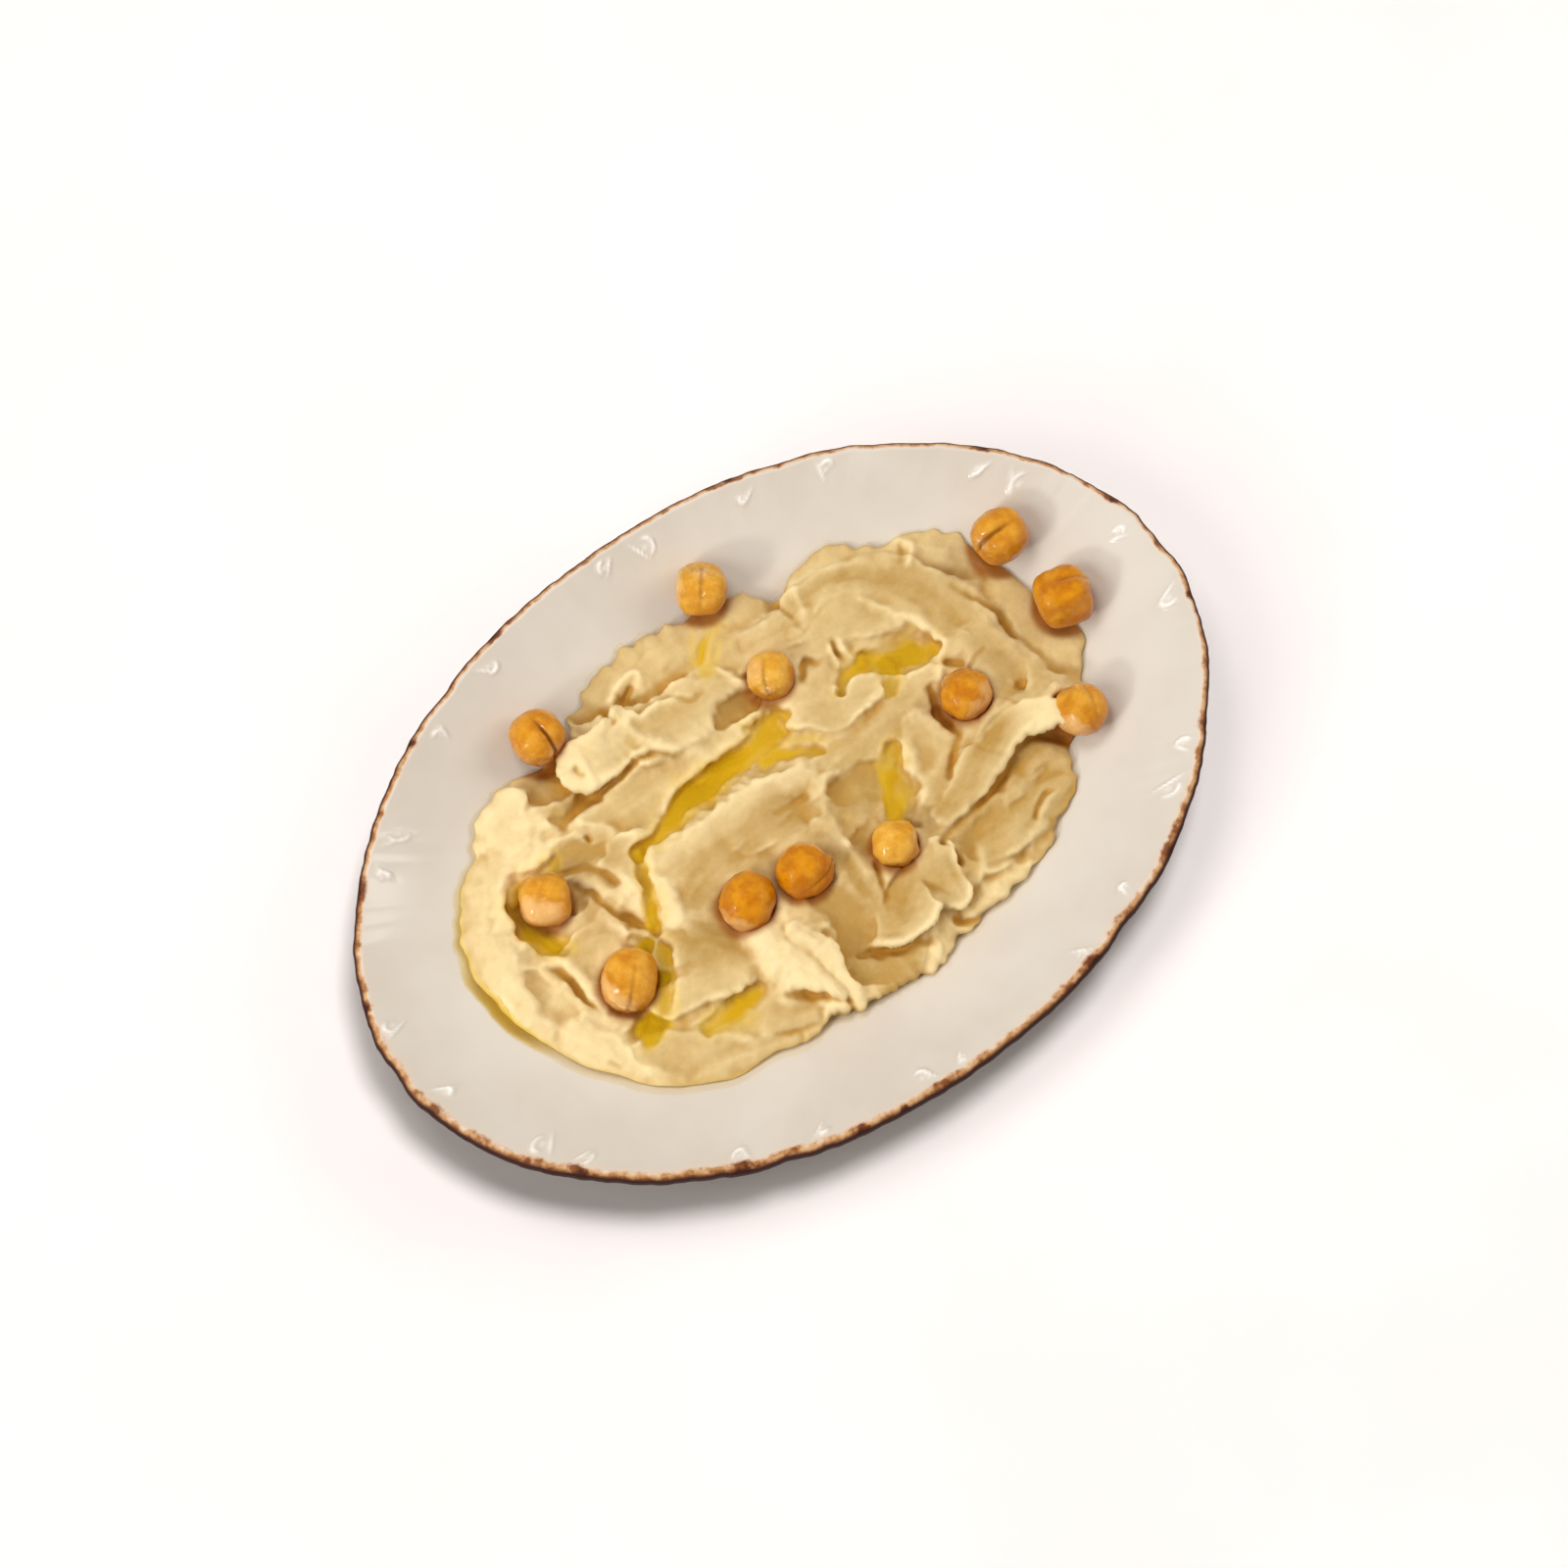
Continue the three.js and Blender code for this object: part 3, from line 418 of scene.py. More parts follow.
def round_trip(values, cells):
    """Numbers round a closed loop, smoothed."""
    return blurred(np.tile(values, 3)[None], cells)[0][len(values):2 * len(values)]


plain_reach = round_trip(np.interp(turns, outline_angle, outline_reach, period=2 * math.pi), 6)
wavy = grain_torn.layered(60 * np.cos(turns), 60 * np.sin(turns), 7, 3, 0.6)
wavy *= 1.6 - 1.3 * np.exp(-(turned_from(CALM_HEADING, turns) / CALM_SPREAD) ** 4)
edge_reach = plain_reach + wavy
calm_reach = round_trip(plain_reach, 40)


def outline_radius(angle, reach=edge_reach):
    return np.interp(angle, turns, reach, period=2 * math.pi)


peas = []
for i in range(12):
    low, high = (np.array(corner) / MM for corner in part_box(f"chickpea_{i + 1:02d}"))
    peas.append({"centre": (low + high) / 2, "radius": (high - low).mean() / 2})


class Heap:
    """The hummus as a raster of heights over the table, with how torn it is and where shade is painted
    into its creases.
    """

    def __init__(self):
        self.x0, self.y0 = outline.min(0) - RASTER_MARGIN
        far_x, far_y = outline.max(0) + RASTER_MARGIN
        columns, rows = int((far_x - self.x0) / CELL), int((far_y - self.y0) / CELL)
        self.x, self.y = np.meshgrid(
            self.x0 + CELL * np.arange(columns), self.y0 + CELL * np.arange(rows),
        )
        self.stroke()
        self.settle()

    def stroke(self):
        """Broad form first, then every stroke laid over the last, then lips and cracks."""
        x, y = self.x, self.y
        wx = x + 0.85 * grain_broad.layered(x, y, 8) + 0.15 * grain_fine.layered(x, y, 2, 2)
        wy = y + 0.85 * grain_broad.layered(x + 90, y + 40, 8) + 0.15 * grain_fine.layered(x + 50, y, 2, 2)
        leans = np.random.default_rng(14).uniform(-LEAN, LEAN, len(FACETS))
        parts, total, weight = [], CROWN_WEIGHT * CROWN, CROWN_WEIGHT
        tone_total = CROWN_WEIGHT * 0.5
        for number, (points, cup, tilt, pale, edge) in enumerate(FACETS.values()):
            distance, left, level, half = beside(curve_through(points), wx, wy)
            spread = np.exp(-0.5 * (np.maximum(0, distance - half) / BLEND) ** 2)
            total, weight = total + level * spread, weight + spread
            tone_total = tone_total + pale * spread
            marks = 0.16 * grain_fine.layered(left + 37 * number, 0.08 * (x + y) + 5 * number, 2, 2)
            lean = tilt + leans[number]
            strip = level - cup * (1 - np.clip(distance / half, 0, 1.3) ** 2) + lean * left + marks
            fading = smoothstep(0, 1, math.copysign(1, tilt or lean) * left / half)
            width = edge * (0.5 + 1.6 * fading) if edge > 0.5 else 0.9 * edge
            parts.append((strip, distance, half, pale, width))
        broad = total / weight
        height = broad + 0.6 * grain_broad.layered(x + 40, y, 5, 3)
        uneven = grain_broad.layered(x, y + 30, 13, 2)
        ragged = smoothstep(-0.5, 0.5, grain_torn.layered(x, y + 60, 5, 2))
        torn, tone = np.zeros(x.shape), tone_total / weight
        for strip, distance, half, pale, edge in parts:
            strip = broad + LIVELY * (strip - broad) + uneven
            hold = 1 - smoothstep(half - edge, half + edge, distance)
            rim = np.exp(-((distance - half + edge) / 0.6) ** 2) * (1 - smoothstep(0.4, 1.0, edge))
            step = np.clip(np.abs(strip - height) / 1.2, 0, 1) * rim * ragged
            height = height + (strip - height) * hold + 0.3 * step
            torn = np.maximum(torn * (1 - hold), step)
            tone = tone + (pale - tone) * hold
        folded, valley = self.folds(wx, wy)
        height += folded
        # crease: where shade is painted into the paste, golden brown, in fold valleys and cracks and later
        # round each chickpea; partly it is oil soaked in.
        crease = 0.3 * valley
        for points in RIDGES.values():
            distance, _, tall, half = beside(curve_through(points), wx, wy)
            hold = np.exp(-1.1 * (distance / half) ** 2)
            height += tall * hold
            torn = np.maximum(torn, hold)
        for points in CRACKS.values():
            distance, _, deep, half = beside(curve_through(points), wx, wy)
            hold = 0.5 * np.exp(-1.6 * (distance / half) ** 2) + 0.5 * np.exp(-2.4 * distance / half)
            height -= 1.3 * deep * hold
            crease = np.maximum(crease, hold * np.clip(deep / 2.5, 0, 1))
        self.height, self.torn, self.crease, self.tone = height, torn, crease, tone
        self.flood(wx, wy)

    def folds(self, x, y):
        """Shallow folds along the way the spoon went, where they come and go."""
        rolling = grain_broad.layered(0.45 * x + 11, y - 0.1 * x + 70, 6, 2, 0.4)
        present = smoothstep(0.0, 0.7, grain_torn.layered(x + 30, y, 13, 2))
        valley = np.exp(-np.abs(rolling) / 0.13)
        return -FOLD_DEPTH * present * (valley - 0.3), present * valley

    def flood(self, wx, wy):
        """Each pool sinks its bed a little and fills it with oil to one level."""
        self.wet, self.oil = np.zeros(wx.shape), np.full(wx.shape, -1.0)
        self.stain = np.zeros(wx.shape)
        calm = blurred(self.height, 0.8 / CELL)
        for points, deep in POOLS.values():
            path = curve_through([(a, b, 0, h) for a, b, h in points])
            distance, left, _, half = beside(path, wx, wy)
            distance = distance + 0.8 * grain_torn.layered(wx, wy + 20, 5, 3)
            inside = 1 - smoothstep(0.3 * half, half + 1.2, distance)
            level = (calm * inside ** 2).sum() / (inside ** 2).sum() - 0.1
            streak = grain_fine.layered(2.2 * left, 0.35 * wx + 0.2 * wy, 2.6, 3, 0.6)
            grained = 0.3 * (self.height - calm) + 0.25 * streak
            bed = np.minimum(calm, level + 0.2) - deep * inside + grained
            self.height += (bed - self.height) * np.clip(1.2 * inside, 0, 1)
            depth = np.maximum(level - self.height, 0.1) * inside
            self.oil = np.maximum(self.oil, depth - 0.12)
            self.stain = np.maximum(self.stain, depth - 0.12)
            smear = (1 - smoothstep(0.6 * half, half + 3.5, distance)) * smoothstep(-0.3, 0.7, streak)
            full = np.clip(depth / 1.1, 0, 1) * np.clip(1 + 0.3 * streak, 0.3, 1.3)
            self.wet = np.maximum(self.wet, np.maximum(full, 0.3 * smear))

    def settle(self):
        """Roughness on the slopes, the bank at the plate, and the hollow each chickpea presses."""
        x, y = self.x, self.y
        rise_y, rise_x = np.gradient(blurred(self.height, 0.8 / CELL), CELL)
        slope = np.hypot(rise_x, rise_y)
        steep = smoothstep(0.25, 0.8, slope)
        rough = np.clip(0.1 + 0.45 * self.tone + 0.9 * steep + 0.5 * self.torn, 0, 1.2)
        rough *= 1 - 0.8 * np.clip(self.wet, 0, 1)
        self.torn = np.clip(0.7 * self.torn + 0.8 * smoothstep(0.3, 0.9, slope), 0, 1)
        self.height += 0.42 * rough * grain_torn.layered(x, y, 3.2, 4, 0.55)
        share = np.hypot(x, y) / outline_radius(np.arctan2(y, x))
        base = plate_top(x, y)
        self.height += EDGE_LIFT * smoothstep(0.7, 0.9, share)
        bank = EDGE_SHARE + (1 - EDGE_SHARE) * np.sqrt(np.maximum(0, 1 - share ** BANK_POWER))
        self.height = base + np.maximum(0.4, self.height - base) * bank
        self.press()
        self.lay_tip()
        self.spill()
        self.height = blurred(self.height, 0.27 / CELL)
        broad, close = blurred(self.height, 3 / CELL), blurred(self.height, 0.9 / CELL)
        # hump: how far a place stands above its surroundings; crests are painted paler by it (painted
        # light) and kept clear of painted shade.
        self.hump = (self.height - close) * 0.9 + (self.height - broad) * 0.4
        soft = blurred(self.height, 1.2 / CELL)
        rise_y, rise_x = np.gradient(soft, CELL)
        over = OVERHANG * np.clip(self.height - soft, -0.8, 0.8)
        self.shift_x, self.shift_y = -rise_x * over, -rise_y * over

    def press(self):
        """The hollow under each chickpea, and painted shade round its foot."""
        self.contact_shade = np.zeros(self.x.shape)
        for pea in peas:
            away = np.hypot(self.x - pea["centre"][0], self.y - pea["centre"][1])
            radius = pea["radius"] + 0.1
            under = pea["centre"][2] - np.sqrt(np.maximum(0, radius ** 2 - away ** 2))
            wall = np.where(away < radius, under, np.inf)
            lower = np.minimum(self.height, pea["centre"][2] - 0.5)
            hold = 1 - smoothstep(radius - 0.3, radius + 1.6, away)
            self.height = np.minimum(self.height + (lower - self.height) * hold, wall)
            # Painted shade in a ring round each chickpea, carried in crease.
            ring = 1 - smoothstep(radius - 0.2, radius + 1.6, away)
            self.crease = np.maximum(self.crease, 0.8 * ring)
            # Painted shade round the foot of each chickpea, set a little towards the lower left.
            aside = np.hypot(self.x - pea["centre"][0] + 0.8, self.y - pea["centre"][1] + 0.7)
            darkened = 1 - smoothstep(radius - 0.2, radius + 1.7, aside)
            self.contact_shade = np.maximum(self.contact_shade, darkened)

    def lay_tip(self):
        """The far end of the flap, which lies over the chickpea beside it."""
        distance, _, level, half = beside(curve_through(FLAP_TIP), self.x, self.y)
        half = half + 0.3 * grain_torn.layered(self.x, self.y, 2.5, 2)
        hold = (1 - smoothstep(half - 0.4, half + 0.3, distance)) * smoothstep(50, 60, self.x)
        self.height += (np.maximum(level - 0.15 * distance, self.height) - self.height) * hold
        # The tip is painted paler, like a stroke's tone, and the painted shade round the chickpea and in
        # creases is cleared from it.
        self.tone += (0.85 - self.tone) * hold
        self.contact_shade *= 1 - hold
        self.crease *= 1 - hold

    def spill(self):
        """Oil that has run out along the foot of the bank, with a faint film that is partly painted
        reflection and shade of the hummus on the glaze.
        """
        angle = np.arctan2(self.y, self.x)
        away = np.hypot(self.x, self.y) - outline_radius(angle)
        for heading, spread, width, deep in FOOT_OIL:
            strength = np.exp(-(turned_from(heading, angle) / spread) ** 2)
            inside = strength * (1 - smoothstep(0.2 * width, width, np.abs(away - 0.3 * width)))
            self.oil = np.maximum(self.oil, min(0.6, 0.3 * deep) * inside - 0.03)
            self.stain = np.maximum(self.stain, deep * inside)
            self.wet = np.maximum(self.wet, min(0.7, 0.25 * deep) * inside)

    def at(self, field, x, y):
        """A raster's value at any place."""
        column = np.clip((x - self.x0) / CELL, 0, field.shape[1] - 1.001)
        row = np.clip((y - self.y0) / CELL, 0, field.shape[0] - 1.001)
        i, j = row.astype(int), column.astype(int)
        up, across = row - i, column - j
        low = field[i, j] * (1 - across) + field[i, j + 1] * across
        high = field[i + 1, j] * (1 - across) + field[i + 1, j + 1] * across
        return low * (1 - up) + high * up


# ---- meshes ----
def mesh_piece(name, points, faces, material, values=None):
    """A piece from points in millimetres, with its place in its mesh."""
    mesh = bpy.data.meshes.new(name)
    mesh.from_pydata((np.asarray(points) * MM).tolist(), [], faces)
    for key, numbers in (values or {}).items():
        layer = mesh.attributes.new(key, "FLOAT", "POINT")
        layer.data.foreach_set("value", np.asarray(numbers, np.float32))
    mesh.shade_smooth()
    mesh.materials.append(material)
    piece = bpy.data.objects.new(name, mesh)
    bpy.context.scene.collection.objects.link(piece)
    return piece


def grid_faces(rows, columns, wrap=False):
    """Quads of a grid of points, laid out row by row."""
    across = columns if wrap else columns - 1
    row, column = np.meshgrid(np.arange(rows - 1), np.arange(across), indexing="ij")
    beyond = (column + 1) % columns
    near, far = row * columns, (row + 1) * columns
    corners = [near + column, near + beyond, far + beyond, far + column]
    return np.stack(corners, -1).reshape(-1, 4).tolist()


# ---- node trees ----
class Value:
    """A socket that takes part in a Python expression."""

    def __init__(self, tree, socket):
        self.tree, self.socket = tree, socket

    def math(self, operation, *others):
        sockets = dict(enumerate((self, *others)))
        return self.tree.add("ShaderNodeMath", {"operation": operation}, sockets)

    def __add__(self, other):
        return self.math("ADD", other)

    def __sub__(self, other):
        return self.math("SUBTRACT", other)

    def __rsub__(self, other):
        return (self * -1) + other

    def __mul__(self, other):
        return self.math("MULTIPLY", other)

    def __truediv__(self, other):
        return self.math("DIVIDE", other)

    def __rtruediv__(self, other):
        return self.tree.add("ShaderNodeMath", {"operation": "DIVIDE"}, {0: other, 1: self})

    def __pow__(self, other):
        return self.math("POWER", other)

    __radd__ = __add__
    __rmul__ = __mul__

    def clamped(self):
        return self.tree.add("ShaderNodeClamp", sockets={0: self})

    def exp(self):
        return self.math("EXPONENT")

    def rise(self, low, high):
        """0 below low, 1 above high, smooth between."""
        sockets = {0: self, 1: low, 2: high, 3: 0.0, 4: 1.0}
        return self.tree.add("ShaderNodeMapRange", {"interpolation_type": "SMOOTHSTEP"}, sockets)


class Tree:
    """Adds nodes to a material's or a shape's tree."""

    def __init__(self, nodes):
        self.nodes = nodes

    def add(self, kind, settings=None, sockets=None, out=0):
        node = self.nodes.nodes.new(kind)
        for key, value in (settings or {}).items():
            setattr(node, key, value)
        for key, value in (sockets or {}).items():
            if isinstance(value, Value):
                self.nodes.links.new(value.socket, node.inputs[key])
            else:
                node.inputs[key].default_value = value
        return Value(self, node.outputs[out]) if len(node.outputs) else node

    def blend(self, share, first, second):
        settings = {"data_type": "RGBA"}
        return self.add("ShaderNodeMix", settings, {0: share, 6: first, 7: second}, out=2)

    def attribute(self, name):
        return self.add("ShaderNodeAttribute", {"attribute_name": name}, out=2)

    def place(self):
        return self.add("ShaderNodeTexCoord", out=3)

    def noise(self, place, size, detail=4.0, rough=0.55):
        """Noise between 0 and 1 whose lumps are about that size in millimetres."""
        sockets = {"Vector": place, "Scale": 1 / (size * MM), "Detail": detail, "Roughness": rough}
        return self.add("ShaderNodeTexNoise", sockets=sockets)


def color(red, green, blue):
    """A colour given as on a screen, 0 to 255."""
    shares = [channel / 255 for channel in (red, green, blue)]
    return (*((s / 12.92 if s <= 0.04 else ((s + 0.055) / 1.055) ** 2.4) for s in shares), 1.0)


def new_material(name):
    material = bpy.data.materials.new(name)
    material.use_nodes = True
    material.node_tree.nodes.clear()
    return material, Tree(material.node_tree)


def finish_material(tree, sockets):
    shader = tree.add("ShaderNodeBsdfPrincipled", sockets=sockets)
    tree.add("ShaderNodeOutputMaterial", sockets={"Surface": shader})


def hummus_material():
    material, tree = new_material("hummus")
    place = tree.place()
    pale, crease, wet, contact_shade = (tree.attribute(key) for key in ("pale", "crease", "wet", "contact_shade"))
    mottle = tree.noise(place, 9, 3)
    patch = tree.noise(place, 3, 3, 0.6)
    grain = tree.noise(place, 1.1, 5, 0.65)
    fine = tree.noise(place, 0.4, 3, 0.6)
    lightness = (pale + (mottle - 0.5) * 0.3 + (patch - 0.5) * 0.35 + (grain - 0.5) * 0.2).clamped()
    paste = tree.blend(lightness, color(188, 151, 82), color(247, 225, 172))
    # Painted shade in creases, cracks and round the chickpeas, golden brown like oil soaked into them.
    crease_shaded = tree.blend((crease * 0.8).clamped(), paste, color(192, 138, 44))
    tint = tree.blend(wet.clamped(), color(234, 200, 44), color(216, 170, 0))
    oiled = tree.blend((1 - (wet * -2.2).exp()).clamped(), crease_shaded, tint)
    # Painted shade round the feet of the chickpeas, dark brown.
    contact_shaded = tree.blend((contact_shade * 0.85).clamped(), oiled, color(150, 82, 4))
    bumps = tree.add("ShaderNodeBump", sockets={
        "Strength": 0.45, "Distance": 0.35 * MM, "Height": grain * 0.7 + fine * 0.3,
    })
    finish_material(tree, {
        "Base Color": contact_shaded,
        "Roughness": 0.45 - wet * 0.2 + (grain - 0.5) * 0.2,
        "Normal": bumps,
        "IOR": 1.42,
        "Subsurface Weight": 0.2,
        "Subsurface Radius": (1.0, 0.7, 0.35),
        "Subsurface Scale": 1.2 * MM,
    })
    return material


def glaze_material():
    material, tree = new_material("glaze")
    place = tree.place()
    inset, spots, outer, raised = (tree.attribute(key) for key in ("inset", "spots", "outer", "raised"))
    cloud = tree.noise(place, 30, 3)
    worn = tree.noise(place, 7, 3, 0.6)
    patch = tree.noise(place, 2.6, 3, 0.6)
    fleck = tree.noise(place, 0.9, 4, 0.6)
    body = tree.blend(cloud.rise(0.3, 0.7), color(217, 208, 195), color(224, 217, 206))
    # Painted highlight: the crests of the raised marks are painted near white, partly glaze run thin over
    # them.
    crest = tree.blend((raised * 1.5 - 0.12).clamped(), body, color(255, 252, 246))
    width = 2.3 + (worn - 0.5) * 2.4 + (patch - 0.5) * 1.6 + spots * 0.5
    thin = ((width + 0.9 - inset) / 1.4).rise(0, 1)
    halo = tree.blend(thin * 0.6, crest, color(236, 210, 186))
    bare = (width - inset + (fleck - 0.5) * 0.6).rise(0, 1)
    clay = tree.blend(patch.rise(0.35, 0.65), color(212, 168, 120), color(190, 134, 78))
    uneven = (worn - 0.48) * 5 + (patch - 0.5) * 3 + (fleck - 0.5) * 1.5
    blotch = (spots * 1.5 + uneven - inset * 0.2).clamped()
    darkened = tree.blend(blotch * 0.9, clay, color(126, 66, 28))
    near_edge = (1.7 - inset / 0.7 + (patch - 0.5) * 1.6).clamped()
    deep = tree.blend(near_edge * 0.9, darkened, color(94, 46, 20))
    charred = (fleck - 0.5) * 1.2 + (patch - 0.5) * 2.6
    burnt = (spots * 1.5 + charred - inset * 0.4 - 0.5).clamped()
    # The dark spots are the ware's own; the outer wall is painted near black-brown, partly the bare clay,
    # partly painted shade under the rim.
    rim = tree.blend((burnt + outer).clamped(), deep, color(50, 16, 6))
    bumps = tree.add("ShaderNodeBump", sockets={
        "Strength": 0.25, "Distance": 0.2 * MM, "Height": bare * (fleck + patch) + cloud * 0.3,
    })
    finish_material(tree, {
        "Base Color": tree.blend(bare, halo, rim),
        "Roughness": 0.24 + bare * 0.3 + outer * 0.3,
        "Normal": bumps,
        "IOR": 1.5,
        "Specular IOR Level": 0.35,
        "Coat Weight": (1 - bare) * 0.25,
        "Coat Roughness": 0.12,
    })
    return material


def pea_material():
    material, tree = new_material("chickpea skin")
    place = tree.place()
    tone, crease_shade, bare, low = (tree.attribute(key) for key in ("tone", "crease_shade", "bare", "low"))
    cloud = tree.noise(place, 3.5, 3)
    grain = tree.noise(place, 0.7, 4, 0.6)
    patch = cloud.rise(0.35, 0.65)
    golden = tree.blend(patch, color(198, 116, 0), color(222, 146, 0))
    tan = tree.blend(patch, color(230, 166, 48), color(240, 188, 80))
    skin = tree.blend((tone + (grain - 0.5) * 0.15).clamped(), golden, tan)
    peeled = tree.blend((bare * 0.75).clamped(), skin, color(244, 198, 134))
    # Painted shade underneath and on the side away from the light.
    shaded_side = tree.blend((low * 0.75).clamped(), peeled, color(172, 84, 0))
    # Painted shade in the groove and wrinkles, darker too along the loose skin's edge.
    edge = tree.blend((crease_shade * 0.75).clamped(), shaded_side, color(122, 62, 8))
    bumps = tree.add("ShaderNodeBump", sockets={
        "Strength": 0.25, "Distance": 0.12 * MM, "Height": grain + cloud * 1.5,
    })
    finish_material(tree, {
        "Base Color": edge,
        "Roughness": 0.36 + (grain - 0.5) * 0.25,
        "Normal": bumps,
        "IOR": 1.42,
        "Subsurface Weight": 0.12,
        "Subsurface Radius": (1.0, 0.6, 0.2),
        "Subsurface Scale": 1.0 * MM,
        "Specular IOR Level": 0.25,
        "Coat Weight": 0.55,
        "Coat Roughness": 0.13,
    })
    return material


def oil_material():
    material, tree = new_material("olive oil")
    place = tree.place()
    depth = tree.attribute("depth")
    ripple = tree.noise(place, 3, 2)
    shade = tree.blend(depth.rise(0.1, 3), color(236, 200, 36), color(196, 154, 6))
    bumps = tree.add("ShaderNodeBump", sockets={
        "Strength": 0.25, "Distance": 0.2 * MM, "Height": ripple,
    })
    finish_material(tree, {
        "Base Color": shade,
        "Alpha": (0.8 - 0.8 * (depth * -0.5).exp() + 0.02).clamped(),
        "Normal": bumps,
        "Roughness": 0.08,
        "IOR": 1.47,
        "Specular IOR Level": 0.2,
    })
    return material


# ---- the plate, in the finish ----
def rim_dents(angle, along, length):
    """How far the edge wanders in and out: a beat to each motif, then unevenness."""
    beat = (along / length * MOTIFS + 0.5) % 1 - 0.5
    dents = 0.25 * np.cos(beat * 2 * math.pi) - 0.55 * np.exp(-(beat * length / MOTIFS / 4) ** 2)
    dents += 0.3 * grain_broad.layered(8 * np.cos(angle), 8 * np.sin(angle), 1.5)
    dents += 0.14 * grain_torn.layered(along, 0 * along + 9, 3, 2)
    return dents


def plate_rings(shares):
    """Rings from the middle over the rim and under to the middle again: half length, half width,
    height, distance in from the edge, and 1 on the outer side."""
    rings = []

    def ring(semi_x, semi_y, height, inset, outer):
        rings.append((semi_x, semi_y, height, inset, outer))

    top_x, top_y = HALF_LENGTH - LIP, HALF_WIDTH - LIP
    for share in shares:
        ring(share * top_x, share * top_y, well_height(share), LIP + (1 - share) * top_y, 0)
    for turn in np.linspace(0.12, 1, 10):
        swing = turn * math.pi / 2
        inset = LIP * (1 - math.sin(swing))
        drop = LIP * (1 - math.cos(swing)) * 0.9
        outer = float(smoothstep(0.3, 0.9, drop))
        ring(HALF_LENGTH - inset, HALF_WIDTH - inset, RIM_HEIGHT - drop, inset, outer)
    for inset, drop in ((0, 2.4), (0.05, 3.4), (0.3, 4.3), (1.1, 5)):
        ring(HALF_LENGTH - inset, HALF_WIDTH - inset, RIM_HEIGHT - drop, 0, 1)
    for share in np.linspace(0.965, 0.64, 12):
        low = max(RECESS, float(well_height(share)) - WALL)
        ring(share * HALF_LENGTH, share * HALF_WIDTH, low, (0.965 - share) * 70, 1)
    foot_x, foot_y = FOOT_SHARE * HALF_LENGTH, FOOT_SHARE * HALF_WIDTH
    for out, height in FOOT_PROFILE:
        ring(foot_x + out, foot_y + out, height, FAR_FROM_EDGE, 0)
    for share in (0.6, 0.1):
        ring(foot_x * share, foot_y * share, RECESS, FAR_FROM_EDGE, 0)
    return rings


def make_plate(material):
    sides = PLATE_SIDES
    angle = np.arange(sides) / sides * 2 * math.pi
    all_round = np.append(angle, 0)
    step_x, step_y = np.diff(HALF_LENGTH * np.cos(all_round)), np.diff(HALF_WIDTH * np.sin(all_round))
    arc = np.hypot(step_x, step_y)
    length = arc.sum()
    along = np.concatenate([[0], np.cumsum(arc)])[:-1]
    dents = rim_dents(angle, along, length)
    shares = np.concatenate([np.linspace(0.03, 0.84, 20), np.linspace(0.852, 1, 42)])
    rings = plate_rings(shares)
    semi_x, semi_y, height, inset, outer = (np.array(column)[:, None] for column in zip(*rings))
    hold = smoothstep(0.7, 1.0, semi_x / HALF_LENGTH)
    shift = 1 + hold * dents[None] / HALF_WIDTH
    x, y = semi_x * np.cos(angle) * shift, semi_y * np.sin(angle) * shift
    raised = rim_relief(along[None] + 0 * height, HALF_WIDTH - semi_y + 0 * x, length)
    raised *= 1 + 0.3 * grain_broad.layered(9 * np.cos(angle), 9 * np.sin(angle), 1.2)
    raised[len(shares):] = 0
    z = height + raised
    spots = np.zeros(sides)
    for heading, size in DARK_SPOTS:
        spots += np.exp(-(turned_from(heading, angle) / size) ** 2)
    # The brown band, its dark edge and the halo inside it are painted wider towards heading 240, the near
    # side, where the outer wall shows in shade: painted shade.
    near_side_shade = 1.25 + 0.35 * np.cos(angle - math.radians(60))
    points = np.stack([x, y, z], -1).reshape(-1, 3)
    points = np.vstack([points, [0, 0, FLOOR_HEIGHT], [0, 0, RECESS]])
    top, last = len(rings) * sides, (len(rings) - 1) * sides
    faces = [face[::-1] for face in grid_faces(len(rings), sides, wrap=True)]
    faces += [(top, i, (i + 1) % sides) for i in range(sides)]
    faces += [(top + 1, last + (i + 1) % sides, last + i) for i in range(sides)]
    # raised also marks the painted highlight on the crests of the marks, and outer the dark outer wall,
    # partly painted shade.
    fields = {"inset": inset * near_side_shade, "outer": outer, "spots": spots[None], "raised": raised}
    middle = [FAR_FROM_EDGE] * 2
    values = {key: np.append((field + 0 * x).ravel(), middle) for key, field in fields.items()}
    return mesh_piece("glazed_plate", points, faces, material, values)


def rim_relief(along, inset, length):
    """Small marks: each a low boss with an open curl round it and a slanting crest beside it."""
    raised = np.zeros(along.shape)

    def bead(distance, width):
        return np.exp(-(distance / width) ** 2)

    bosses = [(motif, *boss) for motif in range(MOTIFS) for boss in BOSSES]
    for number, (motif, step, out, size) in enumerate(bosses):
        place = (motif + 0.5) / MOTIFS + step
        across = (along - place * length + length / 2) % length - length / 2
        deep = inset - out
        away = np.hypot(across, deep) + 0.01
        turn = 2.4 * number
        facing = (across * math.cos(turn) + deep * math.sin(turn)) / away
        curl = bead(away - size, 0.42) * smoothstep(-0.2, 0.9, facing)
        slant = 0.8 if number % 2 else -0.7
        beside_it = bead(across - slant * deep + slant * 1.4 * size, 0.45) * bead(deep - 0.3, 1.1 * size)
        boss = 0.3 * bead(away, 0.45 * size)
        raised = np.maximum(raised, np.maximum(boss + 0.75 * curl, 0.7 * beside_it))
    return raised


